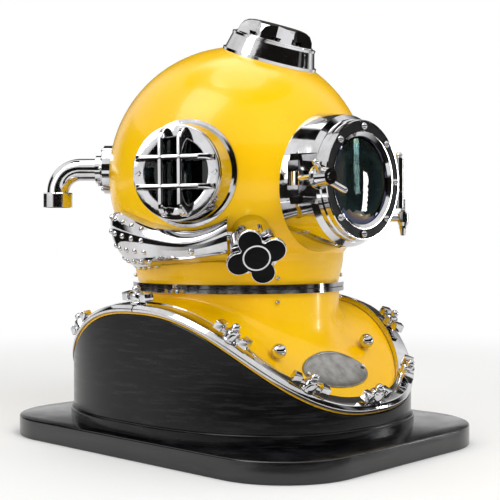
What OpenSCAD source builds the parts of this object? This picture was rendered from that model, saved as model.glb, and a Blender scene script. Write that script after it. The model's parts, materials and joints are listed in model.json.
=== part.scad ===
// Deep-sea diving helmet on its wooden stand.
// Front is -Y, the diver's right is -X, and the origin is the middle of the plinth's underside.

/* [Stand] */
// Half width of the plinth, side to side
plinth_half_w = 181.5; // [178:0.5:195]
// Half depth of the plinth, front to back
plinth_half_d = 237.5; // [215:0.5:255]
// Radius of the plinth's corners in plan
plinth_corner_r = 88; // [60:1:95]
// Thickness of the plinth board
plinth_t = 22; // [16:1:30]
// Wall thickness of the bent-ply pedestal
pedestal_wall = 18; // [14:1:20]
// Height of the moulding round the pedestal's foot
foot_band_h = 13; // [8:1:16]
// How far that moulding stands out of the pedestal
foot_band_t = 3; // [2:0.5:6]
// Number of wood screws up through the plinth
wood_screw_count = 6; // [4:1:8]

/* [Saddle rim] */
// Half width of the breastplate's rim
rim_half_w = 163; // [161:1:168]
// Half depth of the breastplate's rim
rim_half_d = 199; // [196:1:205]
// Squareness of the rim in plan, 2 is an ellipse
rim_power = 2.5; // [2.4:0.05:2.6]
// Height of the rim above the plinth at the front
rim_front_h = 25; // [20:1:28]
// Height of the rim above the plinth at the shoulders
rim_side_h = 127; // [122:1:129]
// Height of the rim above the plinth at the back
rim_back_h = 20; // [18:1:26]
// How far the rim sags between its low and high points
rim_waist = 8; // [4:0.5:9]
// Slope of the rim's flange at the front and back
slope_end = 30; // [26:1:32]
// Slope of the rim's flange at the shoulders
slope_side = 12; // [9:1:15]

/* [Breastplate] */
// Outer radius of the breastplate's neck
neck_r = 117; // [115:0.5:118]
// Thickness of the breastplate's copper
plate_wall = 1.8; // [1.4:0.1:2.2]
// Thickness of the gasket between the rim and the brails
rim_gasket_t = 1; // [0.6:0.1:1.5]
// Width of the brail straps
brail_w = 20; // [18:0.5:22]
// Thickness of the brail straps
brail_t = 6.5; // [5:0.5:7]
// Number of studs and wing nuts round the rim
stud_count = 12; // [8:4:16]
// Radius of a rim stud
stud_r = 4; // [3.5:0.25:4.5]
// Distance of the studs from the rim's outer edge
stud_inset = 11; // [10:0.5:12]
// Height of a wing nut
nut_h = 12; // [10:0.5:13]
// Length of a wing nut over its wings
nut_span = 42; // [36:1:46]
// Long radius of the oval plate
oval_long = 51; // [40:1:53]
// Short radius of the oval plate
oval_short = 25; // [18:1:26]

/* [Neck joint] */
// Height of the joint above the plinth
joint_h = 153.9; // [152:0.1:157]
// Outer radius of both neck rings
ring_r = 122.2; // [121:0.2:125]
// Height of each neck ring
ring_t = 4.4; // [3.5:0.1:5]
// Turn that frees the bonnet, one eighth of a circle
unlock_turn = 45; // [45]

/* [Bonnet] */
// Outer radius of the bonnet
bonnet_r = 150; // [149:0.5:152]
// Thickness of the bonnet's copper
bonnet_wall = 2.5; // [2:0.1:3]
// Height of the bonnet's centre above the neck joint
bonnet_rise = 125.1; // [124:0.1:127]

/* [Faceplate] */
// Drop of the faceplate's centre below the bonnet's centre
face_drop = 10.1; // [8:0.1:12]
// Distance of the door's front plane from the helmet's axis
face_front = 181.7; // [180:0.1:183]
// Outer radius of the door
door_r = 63.4; // [62:0.1:64]
// Thickness of the door
door_t = 13.4; // [12:0.1:14]
// Radius of the clear glass in the door
door_glass_r = 46.8; // [42:0.1:48]
// Radius of the collar where it meets the bonnet
collar_r = 75; // [73:0.5:76]
// Angle that the swing bolt leans out while its nut is slack
bolt_lean = 11; // [10:0.5:12]

/* [Side ports] */
// Angle of each side port from the front
side_port_angle = 68.8; // [67:0.1:70]
// Radius of a side port's face
side_port_r = 49.1; // [47:0.1:51]
// Distance of a side port's face from the bonnet's centre
side_port_reach = 170; // [168:0.5:173]
// Radius of the opening in a side port's guard
side_window_r = 36; // [33:0.5:37]
// Thickness of a guard bar
guard_bar_t = 5; // [4:0.25:6]
// How far the guard bars stand out of the face
guard_bar_rise = 14; // [10:0.5:16]

/* [Top port] */
// Lean of the top port towards the front
top_port_lean = 20; // [18:0.5:22]
// Radius of the top port's collar at its foot
top_port_r = 53.5; // [52:0.5:55]
// Radius of the top port's guard
top_guard_r = 43.5; // [42:0.5:45]
// Number of windows in the top port's guard
top_window_count = 7; // [6:1:8]

/* [Exhaust] */
// Angle of the exhaust valve from the front
valve_angle = 41; // [40:0.5:42]
// Angle of the exhaust valve below the horizontal
valve_dip = 26; // [25:0.5:27]
// Radius of the handwheel over its lobes
wheel_r = 31.5; // [29:0.5:33]
// Thickness of the handwheel
wheel_t = 7; // [5:0.5:9]
// Travel of the exhaust valve's stem
valve_lift = 6; // [4:0.5:6.5]
// How far the exhaust channel stands out of the bonnet
channel_rise = 20; // [16:0.5:22]

/* [Gooseneck fittings] */
// Angle of each gooseneck from the front
gooseneck_angle = 138; // [136:0.5:140]
// Height of the goosenecks above the bonnet's centre
gooseneck_lift = 9; // [4:0.5:11]
// Outer radius of a gooseneck's tube
gooseneck_r = 12.8; // [12:0.1:13.6]
// Bend radius of a gooseneck
gooseneck_bend_r = 27; // [25:0.5:30]
// Angle of the spitcock from the front
spitcock_angle = 33; // [32:0.5:34]

/* [Hidden] */

$fn = 96;
gap = 0.3;                 // between bodies that only lie on each other
fit = 0.05;                // radial clearance of a turning or sliding fit
seam = 0.05;               // between fixed pieces of one body

rim_steps = 72;
neck_steps = 6;

joint_z = plinth_t + joint_h;
bonnet_z = joint_z + bonnet_rise;
face_z = bonnet_z - face_drop;

flange_low = gap;
flange_top = flange_low + plate_wall;
gasket_top = flange_top + rim_gasket_t;
brail_top = gasket_top + brail_t;

// Plan outline of the rim: a superellipse, given by its polar angle from the front
function rim_reach(phi) = pow(
    pow(abs(sin(phi)) / rim_half_w, rim_power) + pow(abs(cos(phi)) / rim_half_d, rim_power),
    -1 / rim_power);
function rim_share(phi) = atan2(
    pow(abs(sin(phi)) / rim_half_w, rim_power / 2),
    pow(abs(cos(phi)) / rim_half_d, rim_power / 2));
function rim_polar(share) = atan2(
    sign(sin(share)) * rim_half_w * pow(abs(sin(share)), 2 / rim_power),
    sign(cos(share)) * rim_half_d * pow(abs(cos(share)), 2 / rim_power));
function rim_height(phi) =
    let (end = cos(phi) >= 0 ? rim_front_h : rim_back_h, share = rim_share(phi))
    plinth_t + (end + rim_side_h) / 2 + (end - rim_side_h) / 2 * cos(2 * share)
    - rim_waist * (1 - cos(4 * share)) / 2;
function rim_point(phi) = [
    -rim_reach(phi) * sin(phi), -rim_reach(phi) * cos(phi), rim_height(phi)];
function unit(v) = v / norm(v);

// Axes along, across and out of the sloping flange at one angle
function rim_along(phi) = unit(rim_point(phi - 1) - rim_point(phi + 1));
function rim_slope(phi) = slope_side + (slope_end - slope_side) * pow(cos(rim_share(phi)), 2);
function rim_across(phi) =
    let (along = rim_along(phi),
         inward = unit(cross([0, 0, 1], [along[0], along[1], 0])),
         lean = inward * cos(rim_slope(phi)) + [0, 0, sin(rim_slope(phi))])
    unit(lean - along * (lean * along));
function rim_out(phi) = cross(rim_along(phi), rim_across(phi));
function on_flange(phi, across, out) =
    rim_point(phi) + across * rim_across(phi) + out * rim_out(phi);

module at_rim(phi, across = 0, out = 0) {
    x = rim_along(phi);
    y = rim_across(phi);
    z = rim_out(phi);
    p = on_flange(phi, across, out);
    multmatrix([
        [x[0], y[0], z[0], p[0]],
        [x[1], y[1], z[1], p[1]],
        [x[2], y[2], z[2], p[2]],
        [0, 0, 0, 1]])
        children();
}

// An end face in strips from the section's first half across to its second
function end_strips(m) = [for (j = [0 : ceil(m / 2) - 2]) let (k = m - 2 - j)
    j + 1 == k ? [j, k, k + 1] : [j, j + 1, k, k + 1]];
function reversed(list) = [for (i = [len(list) - 1 : -1 : 0]) list[i]];

// Skin of triangles over a row of sections with equal numbers of points
module loft(sections, closed = true, flip = false) {
    n = len(sections);
    m = len(sections[0]);
    last = closed ? n - 1 : n - 2;
    sides = [for (i = [0 : last], j = [0 : m - 1])
        let (k = (i + 1) % n, l = (j + 1) % m)
        each flip ? [[i * m + j, i * m + l, k * m + j], [i * m + l, k * m + l, k * m + j]]
            : [[i * m + j, i * m + l, k * m + l], [i * m + j, k * m + l, k * m + j]]];
    caps = closed ? [] : concat(
        [for (strip = end_strips(m)) reversed(strip)],
        [for (strip = end_strips(m)) [for (j = strip) (n - 1) * m + j]]);
    polyhedron([for (section = sections) each section], concat(sides, caps));
}

// Local +Z points straight out of the bonnet, and local +Y points up
module out_of_bonnet(angle, rise = 0) {
    translate([0, 0, bonnet_z]) rotate([0, 0, -angle]) rotate([90 - rise, 0, 0]) children();
}

// The same for a level fitting at a given height
module level_out(angle, z) {
    translate([0, 0, z]) rotate([0, 0, -angle]) rotate([90, 0, 0]) children();
}

module diver_left() {
    mirror([1, 0, 0]) children();
}

module tube(r_out, r_in, z0, z1) {
    translate([0, 0, z0]) difference() {
        cylinder(r = r_out, h = z1 - z0);
        translate([0, 0, -1]) cylinder(r = r_in, h = z1 - z0 + 2);
    }
}

module ball_screw(r, stem_r, stem_len) {
    intersection() {
        translate([0, 0, r * 0.55]) sphere(r = r, $fn = 24);
        cylinder(r = r + 1, h = 2 * r, $fn = 24);
    }
    translate([0, 0, -stem_len]) cylinder(r = stem_r, h = stem_len + r * 0.4, $fn = 24);
}

// Stand

module plinth_outline() {
    w = plinth_half_w - plinth_corner_r;
    d = plinth_half_d - plinth_corner_r;
    square([2 * plinth_half_w, 2 * d], center = true);
    square([2 * w, 2 * plinth_half_d], center = true);
    for (x = [-w, w], y = [-d, d]) translate([x, y]) circle(r = plinth_corner_r);
}

wood_screw_r = 2.2;
wood_screw_head_r = 4.4;
wood_screw_reach = 16;

module at_wood_screws() {
    for (i = [0 : wood_screw_count - 1]) {
        phi = 360 / wood_screw_count * (i + 0.5);
        p = rim_point(phi) + rim_across(phi) * pedestal_wall / 2;
        translate([p[0], p[1], 0]) children();
    }
}

module wood_screw(extra = 0) {
    translate([0, 0, 1 - extra]) cylinder(r = wood_screw_head_r + extra, h = 3 + extra, $fn = 24);
    translate([0, 0, 2]) cylinder(r = wood_screw_r + extra, h = plinth_t + wood_screw_reach - 2 + extra,
        $fn = 24);
}

module plinth_board() {
    color("#141414") difference() {
        linear_extrude(plinth_t) plinth_outline();
        at_wood_screws() wood_screw(seam);
        at_wood_screws() translate([0, 0, -1]) cylinder(r = wood_screw_head_r + seam, h = 2.5, $fn = 24);
    }
}

function level(p, z) = [p[0], p[1], z];
function pedestal_section(phi) =
    let (outer = rim_point(phi), inner = on_flange(phi, pedestal_wall, 0))
    [level(inner, plinth_t), inner, outer, level(outer, plinth_t)];

module stand_pedestal() {
    color("#101012") difference() {
        loft([for (i = [0 : rim_steps - 1]) pedestal_section(i * 360 / rim_steps)], flip = true);
        at_wood_screws() wood_screw(seam);
    }
}

function band_point(phi, out, z) =
    let (p = rim_point(phi), a = rim_along(phi), side = unit([-a[1], a[0], 0]))
    level(p - side * out, plinth_t + z);

module pedestal_foot_band() {
    color("#161618") loft([for (i = [0 : rim_steps - 1]) let (phi = i * 360 / rim_steps) [
        band_point(phi, seam, 0),
        band_point(phi, seam, foot_band_h),
        band_point(phi, foot_band_t / 2, foot_band_h),
        band_point(phi, foot_band_t, foot_band_h * 0.75),
        band_point(phi, foot_band_t, 0)]]);
}

module wood_screws() {
    color("silver") at_wood_screws() wood_screw();
}

// Breastplate

neck_gasket_t = 0.9;
neck_top = joint_z - ring_t - neck_gasket_t;
collar_depth = 8;
lug_arc = 40;
lug_count = 4;
lug_bite = 2.7;
thread_r = ring_r - 9;

function bezier(a, b, c, t) = (1 - t) * (1 - t) * a + 2 * t * (1 - t) * b + t * t * c;
function around(angle, r, z) = [-r * sin(angle), -r * cos(angle), z];

// One skin of the breastplate, from the neck's top to the inner edge of the brail
function neck_skin(phi, r, out) =
    let (foot = on_flange(phi, brail_w, out),
         angle = atan2(-foot[0], -foot[1]),
         reach = norm([foot[0], foot[1]]) - r,
         corner_z = foot[2] + reach * tan(rim_slope(phi)),
         bend_z = corner_z + 0.6 * (neck_top - corner_z),
         corner = around(angle, r, corner_z),
         bend = around(angle, r, bend_z))
    concat([around(angle, r, neck_top)],
           [for (i = [0 : neck_steps]) bezier(bend, corner, foot, i / neck_steps)]);
function breastplate_section(phi) = concat(
    neck_skin(phi, neck_r, flange_top),
    [on_flange(phi, 0, flange_top), on_flange(phi, 0, flange_low)],
    reversed(neck_skin(phi, neck_r - plate_wall, flange_low)));

function stud_angle(i) = rim_polar(360 / stud_count * i);

module at_studs(out = 0) {
    for (i = [0 : stud_count - 1]) at_rim(stud_angle(i), stud_inset, out) children();
}

neck_screw_count = 5;
neck_screw_start = 26;
neck_screw_r = 2.4;
neck_screw_stem_r = 1.5;
neck_screw_z = neck_top - 9;
neck_screw_seat = 0.6;    // room for the neck's curve under a screw's head

// Reach of the flaring neck at a height, and its slope there, so that the screws stand square to it
function neck_reach(angle, z) = lookup(z,
    [for (p = neck_skin(angle, neck_r, flange_top)) [p[2], norm([p[0], p[1]])]]);
function neck_slope(angle, z) =
    atan2(neck_reach(angle, z - neck_screw_r) - neck_reach(angle, z + neck_screw_r), 2 * neck_screw_r);

module at_neck_screws() {
    for (i = [0 : neck_screw_count - 1]) {
        angle = neck_screw_start + 360 / neck_screw_count * i;
        level_out(angle, neck_screw_z) translate([0, 0, neck_reach(angle, neck_screw_z)])
            rotate([-neck_slope(angle, neck_screw_z), 0, 0])
            translate([0, 0, neck_screw_seat]) children();
    }
}

// The two ball studs and the oval plate lie on the sloping front of the breastplate
ball_stud_angle = 34;
ball_stud_share = 0.65;
ball_stud_r = 5.2;
plate_share = 0.64;

function front_surface(angle, share, r = neck_r, out = flange_top) =
    let (skin = neck_skin(angle, r, out), foot = skin[neck_steps + 1],
         heading = atan2(-foot[0], -foot[1]),
         reach = norm([foot[0], foot[1]]) - r,
         corner_z = foot[2] + reach * tan(rim_slope(angle)),
         bend_z = corner_z + 0.6 * (neck_top - corner_z))
    bezier(around(heading, r, bend_z), around(heading, r, corner_z), foot, share);

module on_front(angle, share) {
    p = front_surface(angle, share);
    z = unit(cross(front_surface(angle + 2, share) - front_surface(angle - 2, share),
                   front_surface(angle, share + 0.05) - front_surface(angle, share - 0.05)));
    x = unit(cross([0, 1, 0], z));
    y = cross(z, x);
    multmatrix([
        [x[0], y[0], z[0], p[0]],
        [x[1], y[1], z[1], p[1]],
        [x[2], y[2], z[2], p[2]],
        [0, 0, 0, 1]])
        children();
}

module at_lanyard_studs() {
    for (side = [-1, 1]) on_front(side * ball_stud_angle, ball_stud_share) children();
}

lanyard_stem_r = 2.5;
plate_pin_r = 1.2;
plate_pin_seat = 0.6;      // room for the breastplate's curve under a pin's head

module at_plate_pins() {
    on_front(0, plate_share) for (side = [-1, 1])
        translate([side * (oval_long - 4), 0, 0]) children();
}

module breastplate_shell() {
    color("#f5c400") difference() {
        loft([for (i = [0 : rim_steps - 1]) breastplate_section(i * 360 / rim_steps)]);
        at_studs() translate([0, 0, -5]) cylinder(r = stud_r + fit, h = 20, $fn = 32);
        at_neck_screws() translate([0, 0, -10])
            cylinder(r = neck_screw_stem_r + seam, h = 20, $fn = 24);
        at_lanyard_studs() translate([0, 0, -8])
            cylinder(r = lanyard_stem_r + seam, h = 16, $fn = 24);
        at_plate_pins() translate([0, 0, -10]) cylinder(r = plate_pin_r + seam, h = 16, $fn = 24);
    }
}

module thread_sectors(r_out, r_in, z0, z1, arc) {
    for (i = [0 : lug_count - 1])
        rotate([0, 0, 360 / lug_count * i - arc / 2]) translate([0, 0, z0])
            rotate_extrude(angle = arc) translate([r_in, 0]) square([r_out - r_in, z1 - z0]);
}

module breastplate_neck_ring() {
    color("#c9cbce") {
        tube(ring_r, thread_r, neck_top, neck_top + ring_t);
        tube(neck_r - plate_wall - gap, thread_r, neck_top - collar_depth, neck_top);
        thread_sectors(thread_r + 0.5, thread_r - lug_bite, neck_top, neck_top + ring_t, lug_arc);
    }
}

module neck_gasket() {
    color("#3b2a1c") tube(ring_r - 1, thread_r + 1, neck_top + ring_t, joint_z);
}

module rim_band(low, top, inner) {
    loft([for (i = [0 : rim_steps - 1]) let (phi = i * 360 / rim_steps) [
        on_flange(phi, inner, low),
        on_flange(phi, inner, top),
        on_flange(phi, 0, top),
        on_flange(phi, 0, low)]], flip = true);
}

module rim_gasket() {
    color("#b08d57") difference() {
        rim_band(flange_top, gasket_top, brail_w);
        at_studs() cylinder(r = stud_r + fit, h = 20, $fn = 32);
    }
}

brail_gap = 0.3;           // degrees that each brail stops short of its neighbour
rim_step = 360 / rim_steps;
brail_bevel = 0.55;        // share of the strap's height that the outer bevel takes
brail_bevel_w = 4;

brail_low = gasket_top + seam;
function brail_section(phi) = [
    on_flange(phi, brail_w, brail_low),
    on_flange(phi, brail_w, brail_top),
    on_flange(phi, brail_bevel_w, brail_top),
    on_flange(phi, 0, brail_top - brail_t * brail_bevel),
    on_flange(phi, 0, brail_low)];
function brail_angle(start, i) =
    start + min(max(i * rim_step, brail_gap), 90 - brail_gap);

module brail(start) {
    color("#d4d6d8") difference() {
        loft([for (i = [0 : rim_steps / 4]) brail_section(brail_angle(start, i))], false);
        for (i = [0 : stud_count - 1]) at_rim(stud_angle(i), stud_inset, 0)
            cylinder(r = stud_r + fit, h = 20, $fn = 32);
    }
}

module front_right_brail() { brail(0); }
module rear_right_brail() { brail(90); }
module rear_left_brail() { brail(180); }
module front_left_brail() { brail(270); }

nut_hub_r = 8.5;
nut_wing_w = 12;
nut_ear_l = 9.5;
nut_wing_lift = 3;       // clears the strap where it curves up along the rim
stud_ball_r = 4.4;

module rim_studs() {
    color("#e4e6e8") at_studs(flange_low) {
        cylinder(r = stud_r, h = brail_top + nut_h - flange_low + 1, $fn = 32);
        translate([0, 0, brail_top + nut_h - flange_low + stud_ball_r * 0.75])
            sphere(r = stud_ball_r, $fn = 32);
    }
}

module wing_nut() {
    difference() {
        union() {
            cylinder(r = nut_hub_r, h = nut_h, $fn = 48);
            translate([4 - nut_span / 2, -nut_wing_w * 0.3, nut_wing_lift])
                cube([nut_span - 8, nut_wing_w * 0.6, nut_h * 0.65 - nut_wing_lift]);
            for (side = [-1, 1])
                translate([side * (nut_span - nut_ear_l) / 2 - nut_ear_l / 2, -nut_wing_w / 2, nut_wing_lift])
                    cube([nut_ear_l, nut_wing_w, nut_h - nut_wing_lift]);
        }
        translate([0, 0, -1]) cylinder(r = stud_r + fit, h = nut_h + 2, $fn = 32);
        translate([0, 0, nut_h + stud_ball_r * 0.75]) sphere(r = stud_ball_r + fit, $fn = 32);
    }
}

module wing_nuts() {
    color("#d0d2d4") at_studs(brail_top + gap) wing_nut();
}

module lanyard_studs() {
    color("#e4e6e8") at_lanyard_studs() {
        translate([0, 0, -4]) cylinder(r = lanyard_stem_r, h = 12, $fn = 24);
        translate([0, 0, 9.5]) sphere(r = ball_stud_r + 3, $fn = 32);
    }
}

module neck_screws() {
    color("#d8dadc") at_neck_screws() ball_screw(neck_screw_r, neck_screw_stem_r, plate_wall + 0.2);
}

name_plate_t = 1.4;
name_plate_seat = 0.15;    // over the breastplate, which is less smoothly curved than the plate
name_plate_sections = 8;   // facets of the breastplate that the plate reaches over, each way

function name_plate_section(phi) = concat(
    neck_skin(phi, neck_r + name_plate_seat + name_plate_t, flange_top + name_plate_seat + name_plate_t),
    reversed(neck_skin(phi, neck_r + name_plate_seat, flange_top + name_plate_seat)));

module name_plate() {
    color("#8d8f92") difference() {
        intersection() {
            loft([for (i = [-name_plate_sections : name_plate_sections])
                name_plate_section(i * 360 / rim_steps)], false);
            on_front(0, plate_share) translate([0, 0, -20]) linear_extrude(40)
                scale([1, oval_short / oval_long]) circle(r = oval_long, $fn = 72);
        }
        at_plate_pins() translate([0, 0, -20]) cylinder(r = plate_pin_r + seam, h = 40, $fn = 24);
    }
}

module name_plate_pins() {
    color("#b9bbbe") at_plate_pins() {
        translate([0, 0, -plate_wall - 1]) cylinder(r = plate_pin_r, h = plate_wall + name_plate_t + 1.5, $fn = 24);
        translate([0, 0, name_plate_t + plate_pin_seat]) cylinder(r = plate_pin_r + 0.9, h = 1, $fn = 24);
    }
}

// Bonnet

// Cuts through the bonnet start this far inside it and run out past every fitting
cut_low = bonnet_r - 50;
cut_h = 80;

skirt_top = 87;                              // below the bonnet's centre
skirt_foot_r = ring_r - 6.2;
skirt_low = bonnet_rise - ring_t - seam;
skirt_steps = 4;

side_hole_r = 43.7;
top_hole_r = 43.7;
face_hole_r = 57;
valve_hole_r = 14;
gooseneck_hole_r = 11;
spit_hole_r = 3.5;

function skirt_r(r, foot, t) =
    let (head = sqrt(r * r - skirt_top * skirt_top))
    head + (foot - head) * pow(t, 1.5);
function skirt_points(r, foot) = [for (i = [0 : skirt_steps]) let (t = i / skirt_steps)
    [skirt_r(r, foot, t), -skirt_top - t * (skirt_low - skirt_top)]];

module skirt(r, foot) {
    rotate_extrude() polygon(concat([[0, -skirt_low], [0, -skirt_top]], skirt_points(r, foot)));
}

module bonnet_solid(r, foot) {
    difference() {
        sphere(r = r, $fn = 160);
        translate([0, 0, -skirt_top - r]) cylinder(r = r + 5, h = r);
    }
    skirt(r, foot);
}

bonnet_screw_angles = [26, -46, -118, 172, 136];
bonnet_screw_z = joint_z + ring_t + 7;
bonnet_screw_t = (bonnet_z - bonnet_screw_z - skirt_top) / (skirt_low - skirt_top);
bonnet_screw_seat = skirt_r(bonnet_r, skirt_foot_r, bonnet_screw_t) + neck_screw_r * 0.28;

module at_bonnet_screws() {
    for (angle = bonnet_screw_angles) level_out(angle, bonnet_screw_z)
        translate([0, 0, bonnet_screw_seat]) children();
}

module bonnet_cut(r) {
    translate([0, 0, cut_low]) cylinder(r = r, h = cut_h);
}

module bonnet_shell() {
    color("#f5c400") difference() {
        translate([0, 0, bonnet_z]) bonnet_solid(bonnet_r, skirt_foot_r);
        translate([0, 0, bonnet_z]) bonnet_solid(bonnet_r - bonnet_wall, skirt_foot_r - bonnet_wall);
        translate([0, 0, bonnet_z - skirt_low - 1]) cylinder(r = skirt_foot_r - bonnet_wall, h = 2);
        level_out(0, face_z) bonnet_cut(face_hole_r);
        for (side = [-1, 1]) out_of_bonnet(side * side_port_angle, side_port_rise) bonnet_cut(side_hole_r);
        out_of_bonnet(0, 90 - top_port_lean) bonnet_cut(top_hole_r);
        out_of_bonnet(valve_angle, -valve_dip) bonnet_cut(valve_hole_r);
        for (side = [-1, 1]) level_out(side * gooseneck_angle, bonnet_z + gooseneck_lift)
            bonnet_cut(gooseneck_hole_r);
        level_out(-spitcock_angle, spit_inlet_z) bonnet_cut(spit_hole_r + seam);
        at_bonnet_screws() translate([0, 0, -10])
            cylinder(r = neck_screw_stem_r + seam, h = 20, $fn = 24);
    }
}

module bonnet_neck_ring() {
    color("#c9cbce") {
        tube(ring_r, thread_r - 4, joint_z, joint_z + ring_t);
        tube(thread_r - lug_bite - gap, thread_r - 7, joint_z - ring_t - neck_gasket_t - collar_depth + 1,
            joint_z + 0.5);
        thread_sectors(thread_r - gap, thread_r - lug_bite - 1, neck_top - collar_depth + 1,
            neck_top - gap, lug_arc - 2);
    }
}

module bonnet_screws() {
    color("#d8dadc") at_bonnet_screws() ball_screw(neck_screw_r, neck_screw_stem_r, bonnet_wall + 1);
}

// Faceplate: a conical collar, a hinged door and a swing bolt

collar_foot = bonnet_r - 40;
collar_sleeve_low = bonnet_r - 17;
door_back = face_front - door_t;
collar_front = door_back - gap;
collar_front_r = collar_r - 5;
collar_bore_r = 50;
hinge_x = 79;
hinge_y = door_back + 2.7;
hinge_half_h = 28;
knuckle_r = 5;
hinge_pin_r = 2.5;
bolt_x = 69;
bolt_pin_y = face_front - 33.7;
bolt_pin_r = 2.5;
bolt_eye_r = 6.5;
bolt_eye_h = 14;
bolt_r = 3.5;
bolt_ear_h = 11;
bolt_pocket_h = 26;
bolt_pocket_x = 60;

// The collar's frame: local +Z points out of the face
module in_face() {
    level_out(0, face_z) children();
}

module faceplate_collar() {
    color("#cdd0d3") in_face() difference() {
        union() {
            difference() {
                union() {
                    translate([0, 0, collar_foot])
                        cylinder(r1 = collar_r + 3, r2 = collar_front_r, h = collar_front - collar_foot - 5);
                    translate([0, 0, collar_front - 5])
                        cylinder(r1 = collar_front_r, r2 = door_r + 1.6, h = 5);
                }
                translate([0, face_drop, 0]) sphere(r = bonnet_r + seam, $fn = 160);
                translate([-bolt_pocket_x - 40, -bolt_pocket_h, collar_front - 29]) cube([40, 2 * bolt_pocket_h, 40]);
            }
            tube(face_hole_r - 0.2, collar_bore_r, collar_sleeve_low, collar_front - 2);
            for (side = [-1, 1]) collar_ear(side);
            for (side = [-1, 1]) collar_knuckle(side);
        }
        bonnet_cut(collar_bore_r);
        translate([-bolt_x, 0, bolt_pin_y]) rotate([90, 0, 0])
            cylinder(r = bolt_pin_r + seam, h = 80, center = true, $fn = 32);
        translate([hinge_x, 0, hinge_y]) rotate([90, 0, 0])
            cylinder(r = hinge_pin_r + seam, h = 100, center = true, $fn = 32);
    }
}

module collar_ear(side) {
    y0 = bolt_eye_h / 2 + gap;
    translate([-bolt_x - 7, side > 0 ? y0 : -y0 - bolt_ear_h, bolt_pin_y - 7])
        cube([bolt_x + 7 - bolt_pocket_x + 2, bolt_ear_h, 14]);
}

knuckle_h = 2 * hinge_half_h / 3;

module collar_knuckle(side) {
    y0 = knuckle_h / 2 + gap;
    h = hinge_half_h - y0;
    translate([hinge_x, side > 0 ? y0 + h : -y0, hinge_y]) rotate([90, 0, 0])
        cylinder(r = knuckle_r, h = h, $fn = 48);
    translate([collar_front_r - 12, side > 0 ? y0 : -y0 - h, collar_front - 12])
        cube([hinge_x - collar_front_r + 12 + 3, h, 12]);
}

module hinge_pin() {
    color("#e0e2e4") in_face() translate([hinge_x, 0, hinge_y]) rotate([90, 0, 0]) {
        translate([0, 0, -hinge_half_h]) cylinder(r = hinge_pin_r, h = 2 * hinge_half_h, $fn = 32);
        translate([0, 0, -hinge_half_h - 3]) sphere(r = 3.6, $fn = 32);
    }
}

module swing_bolt_pin() {
    reach = bolt_eye_h / 2 + gap + bolt_ear_h;
    color("#e0e2e4") in_face() translate([-bolt_x, 0, bolt_pin_y]) rotate([90, 0, 0])
        translate([0, 0, -reach]) cylinder(r = bolt_pin_r, h = 2 * reach, $fn = 32);
}

door_back_r = door_r + 1.4;
band_outer_r = door_r - 1.8;
band_inner_r = door_glass_r + 4.9;
band_depth = 1.6;
glass_seat_r = door_glass_r + 1.8;
door_screw_count = 8;          // one place of these is left free for the swing bolt
door_screw_ring = (band_outer_r + band_inner_r) / 2;
door_screw_r = 4.1;
door_screw_stem_r = 2;

module at_door_screws() {
    for (i = [1 : door_screw_count - 1])
        rotate([0, 0, 180 + 360 / door_screw_count * i]) translate([door_screw_ring, 0, face_front - 0.9]) children();
}

module faceplate_door() {
    lip = 2.2;
    color("#cdd0d3") in_face() difference() {
        union() {
            rotate_extrude() polygon([
                [collar_bore_r + 0.4, door_back], [door_back_r, door_back],
                [door_back_r, door_back + 5], [door_r, door_back + 6.4], [door_r, face_front - 0.8],
                [door_r - 0.8, face_front], [band_outer_r, face_front],
                [band_outer_r, face_front - band_depth], [band_inner_r, face_front - band_depth],
                [band_inner_r, face_front], [band_inner_r - 1, face_front],
                [door_glass_r, face_front - 3.2], [door_glass_r, face_front - 4.4],
                [glass_seat_r, face_front - 4.4], [glass_seat_r, door_back + lip],
                [glass_seat_r + 0.6, door_back]]);
            translate([hinge_x, knuckle_h / 2, hinge_y]) rotate([90, 0, 0])
                cylinder(r = knuckle_r, h = knuckle_h, $fn = 48);
            translate([door_r - 3, -knuckle_h / 2, door_back]) cube([hinge_x - door_r + 3, knuckle_h, 5.5]);
        }
        translate([hinge_x, 0, hinge_y]) rotate([90, 0, 0])
            cylinder(r = hinge_pin_r + fit, h = 100, center = true, $fn = 32);
        at_door_screws() translate([0, 0, -8]) cylinder(r = door_screw_stem_r + seam, h = 12, $fn = 24);
    }
}

module faceplate_band() {
    color("#17181a") in_face() difference() {
        tube(band_outer_r - seam, band_inner_r + seam, face_front - band_depth, face_front - 0.9);
        at_door_screws() translate([0, 0, -8]) cylinder(r = door_screw_stem_r + seam, h = 12, $fn = 24);
    }
}

module faceplate_screws() {
    color("#e4e6e8") in_face() at_door_screws() {
        intersection() {
            sphere(r = door_screw_r, $fn = 32);
            cylinder(r = door_screw_r + 1, h = door_screw_r + 1, $fn = 32);
        }
        translate([0, 0, -6.5]) cylinder(r = door_screw_stem_r, h = 7, $fn = 24);
    }
}

glass_t = 6;
glass_crown = 3.4;

lens_steps = 10;

module lens(r, seat_r, t, crown, z) {
    cap_r = (r * r + crown * crown) / (2 * crown);
    half = asin(r / cap_r);
    cap = [for (i = [0 : lens_steps]) let (a = half * (1 - i / lens_steps))
        [cap_r * sin(a), crown - cap_r * (1 - cos(a))]];
    translate([0, 0, z]) {
        cylinder(r = seat_r, h = t);
        translate([0, 0, t]) rotate_extrude() polygon(concat([[0, 0]], cap));
    }
}

module faceplate_glass() {
    color("#3e5560", 0.5) in_face()
        lens(door_glass_r - 0.2, glass_seat_r - 0.1, glass_t - 1, glass_crown, face_front - 4.5 - glass_t + 1);
}

module faceplate_gasket() {
    color("#222222") in_face()
        tube(glass_seat_r - 0.1, door_glass_r - 3, face_front - 4.5 - glass_t - 1.2, face_front - 4.5 - glass_t + 1);
}

// The swing bolt and its wing nut, drawn upright and then leant out by the slack angle
nut_seat = face_front - bolt_pin_y + gap;
clamp_foot_r = 12.5;
clamp_foot_t = 3;
clamp_hub_r = 9.5;
clamp_hub_h = 16;
clamp_span = 26;
clamp_wing_r = 3.4;
clamp_turn = -35;
bolt_len = nut_seat + clamp_foot_t + clamp_hub_h + 1;

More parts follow.
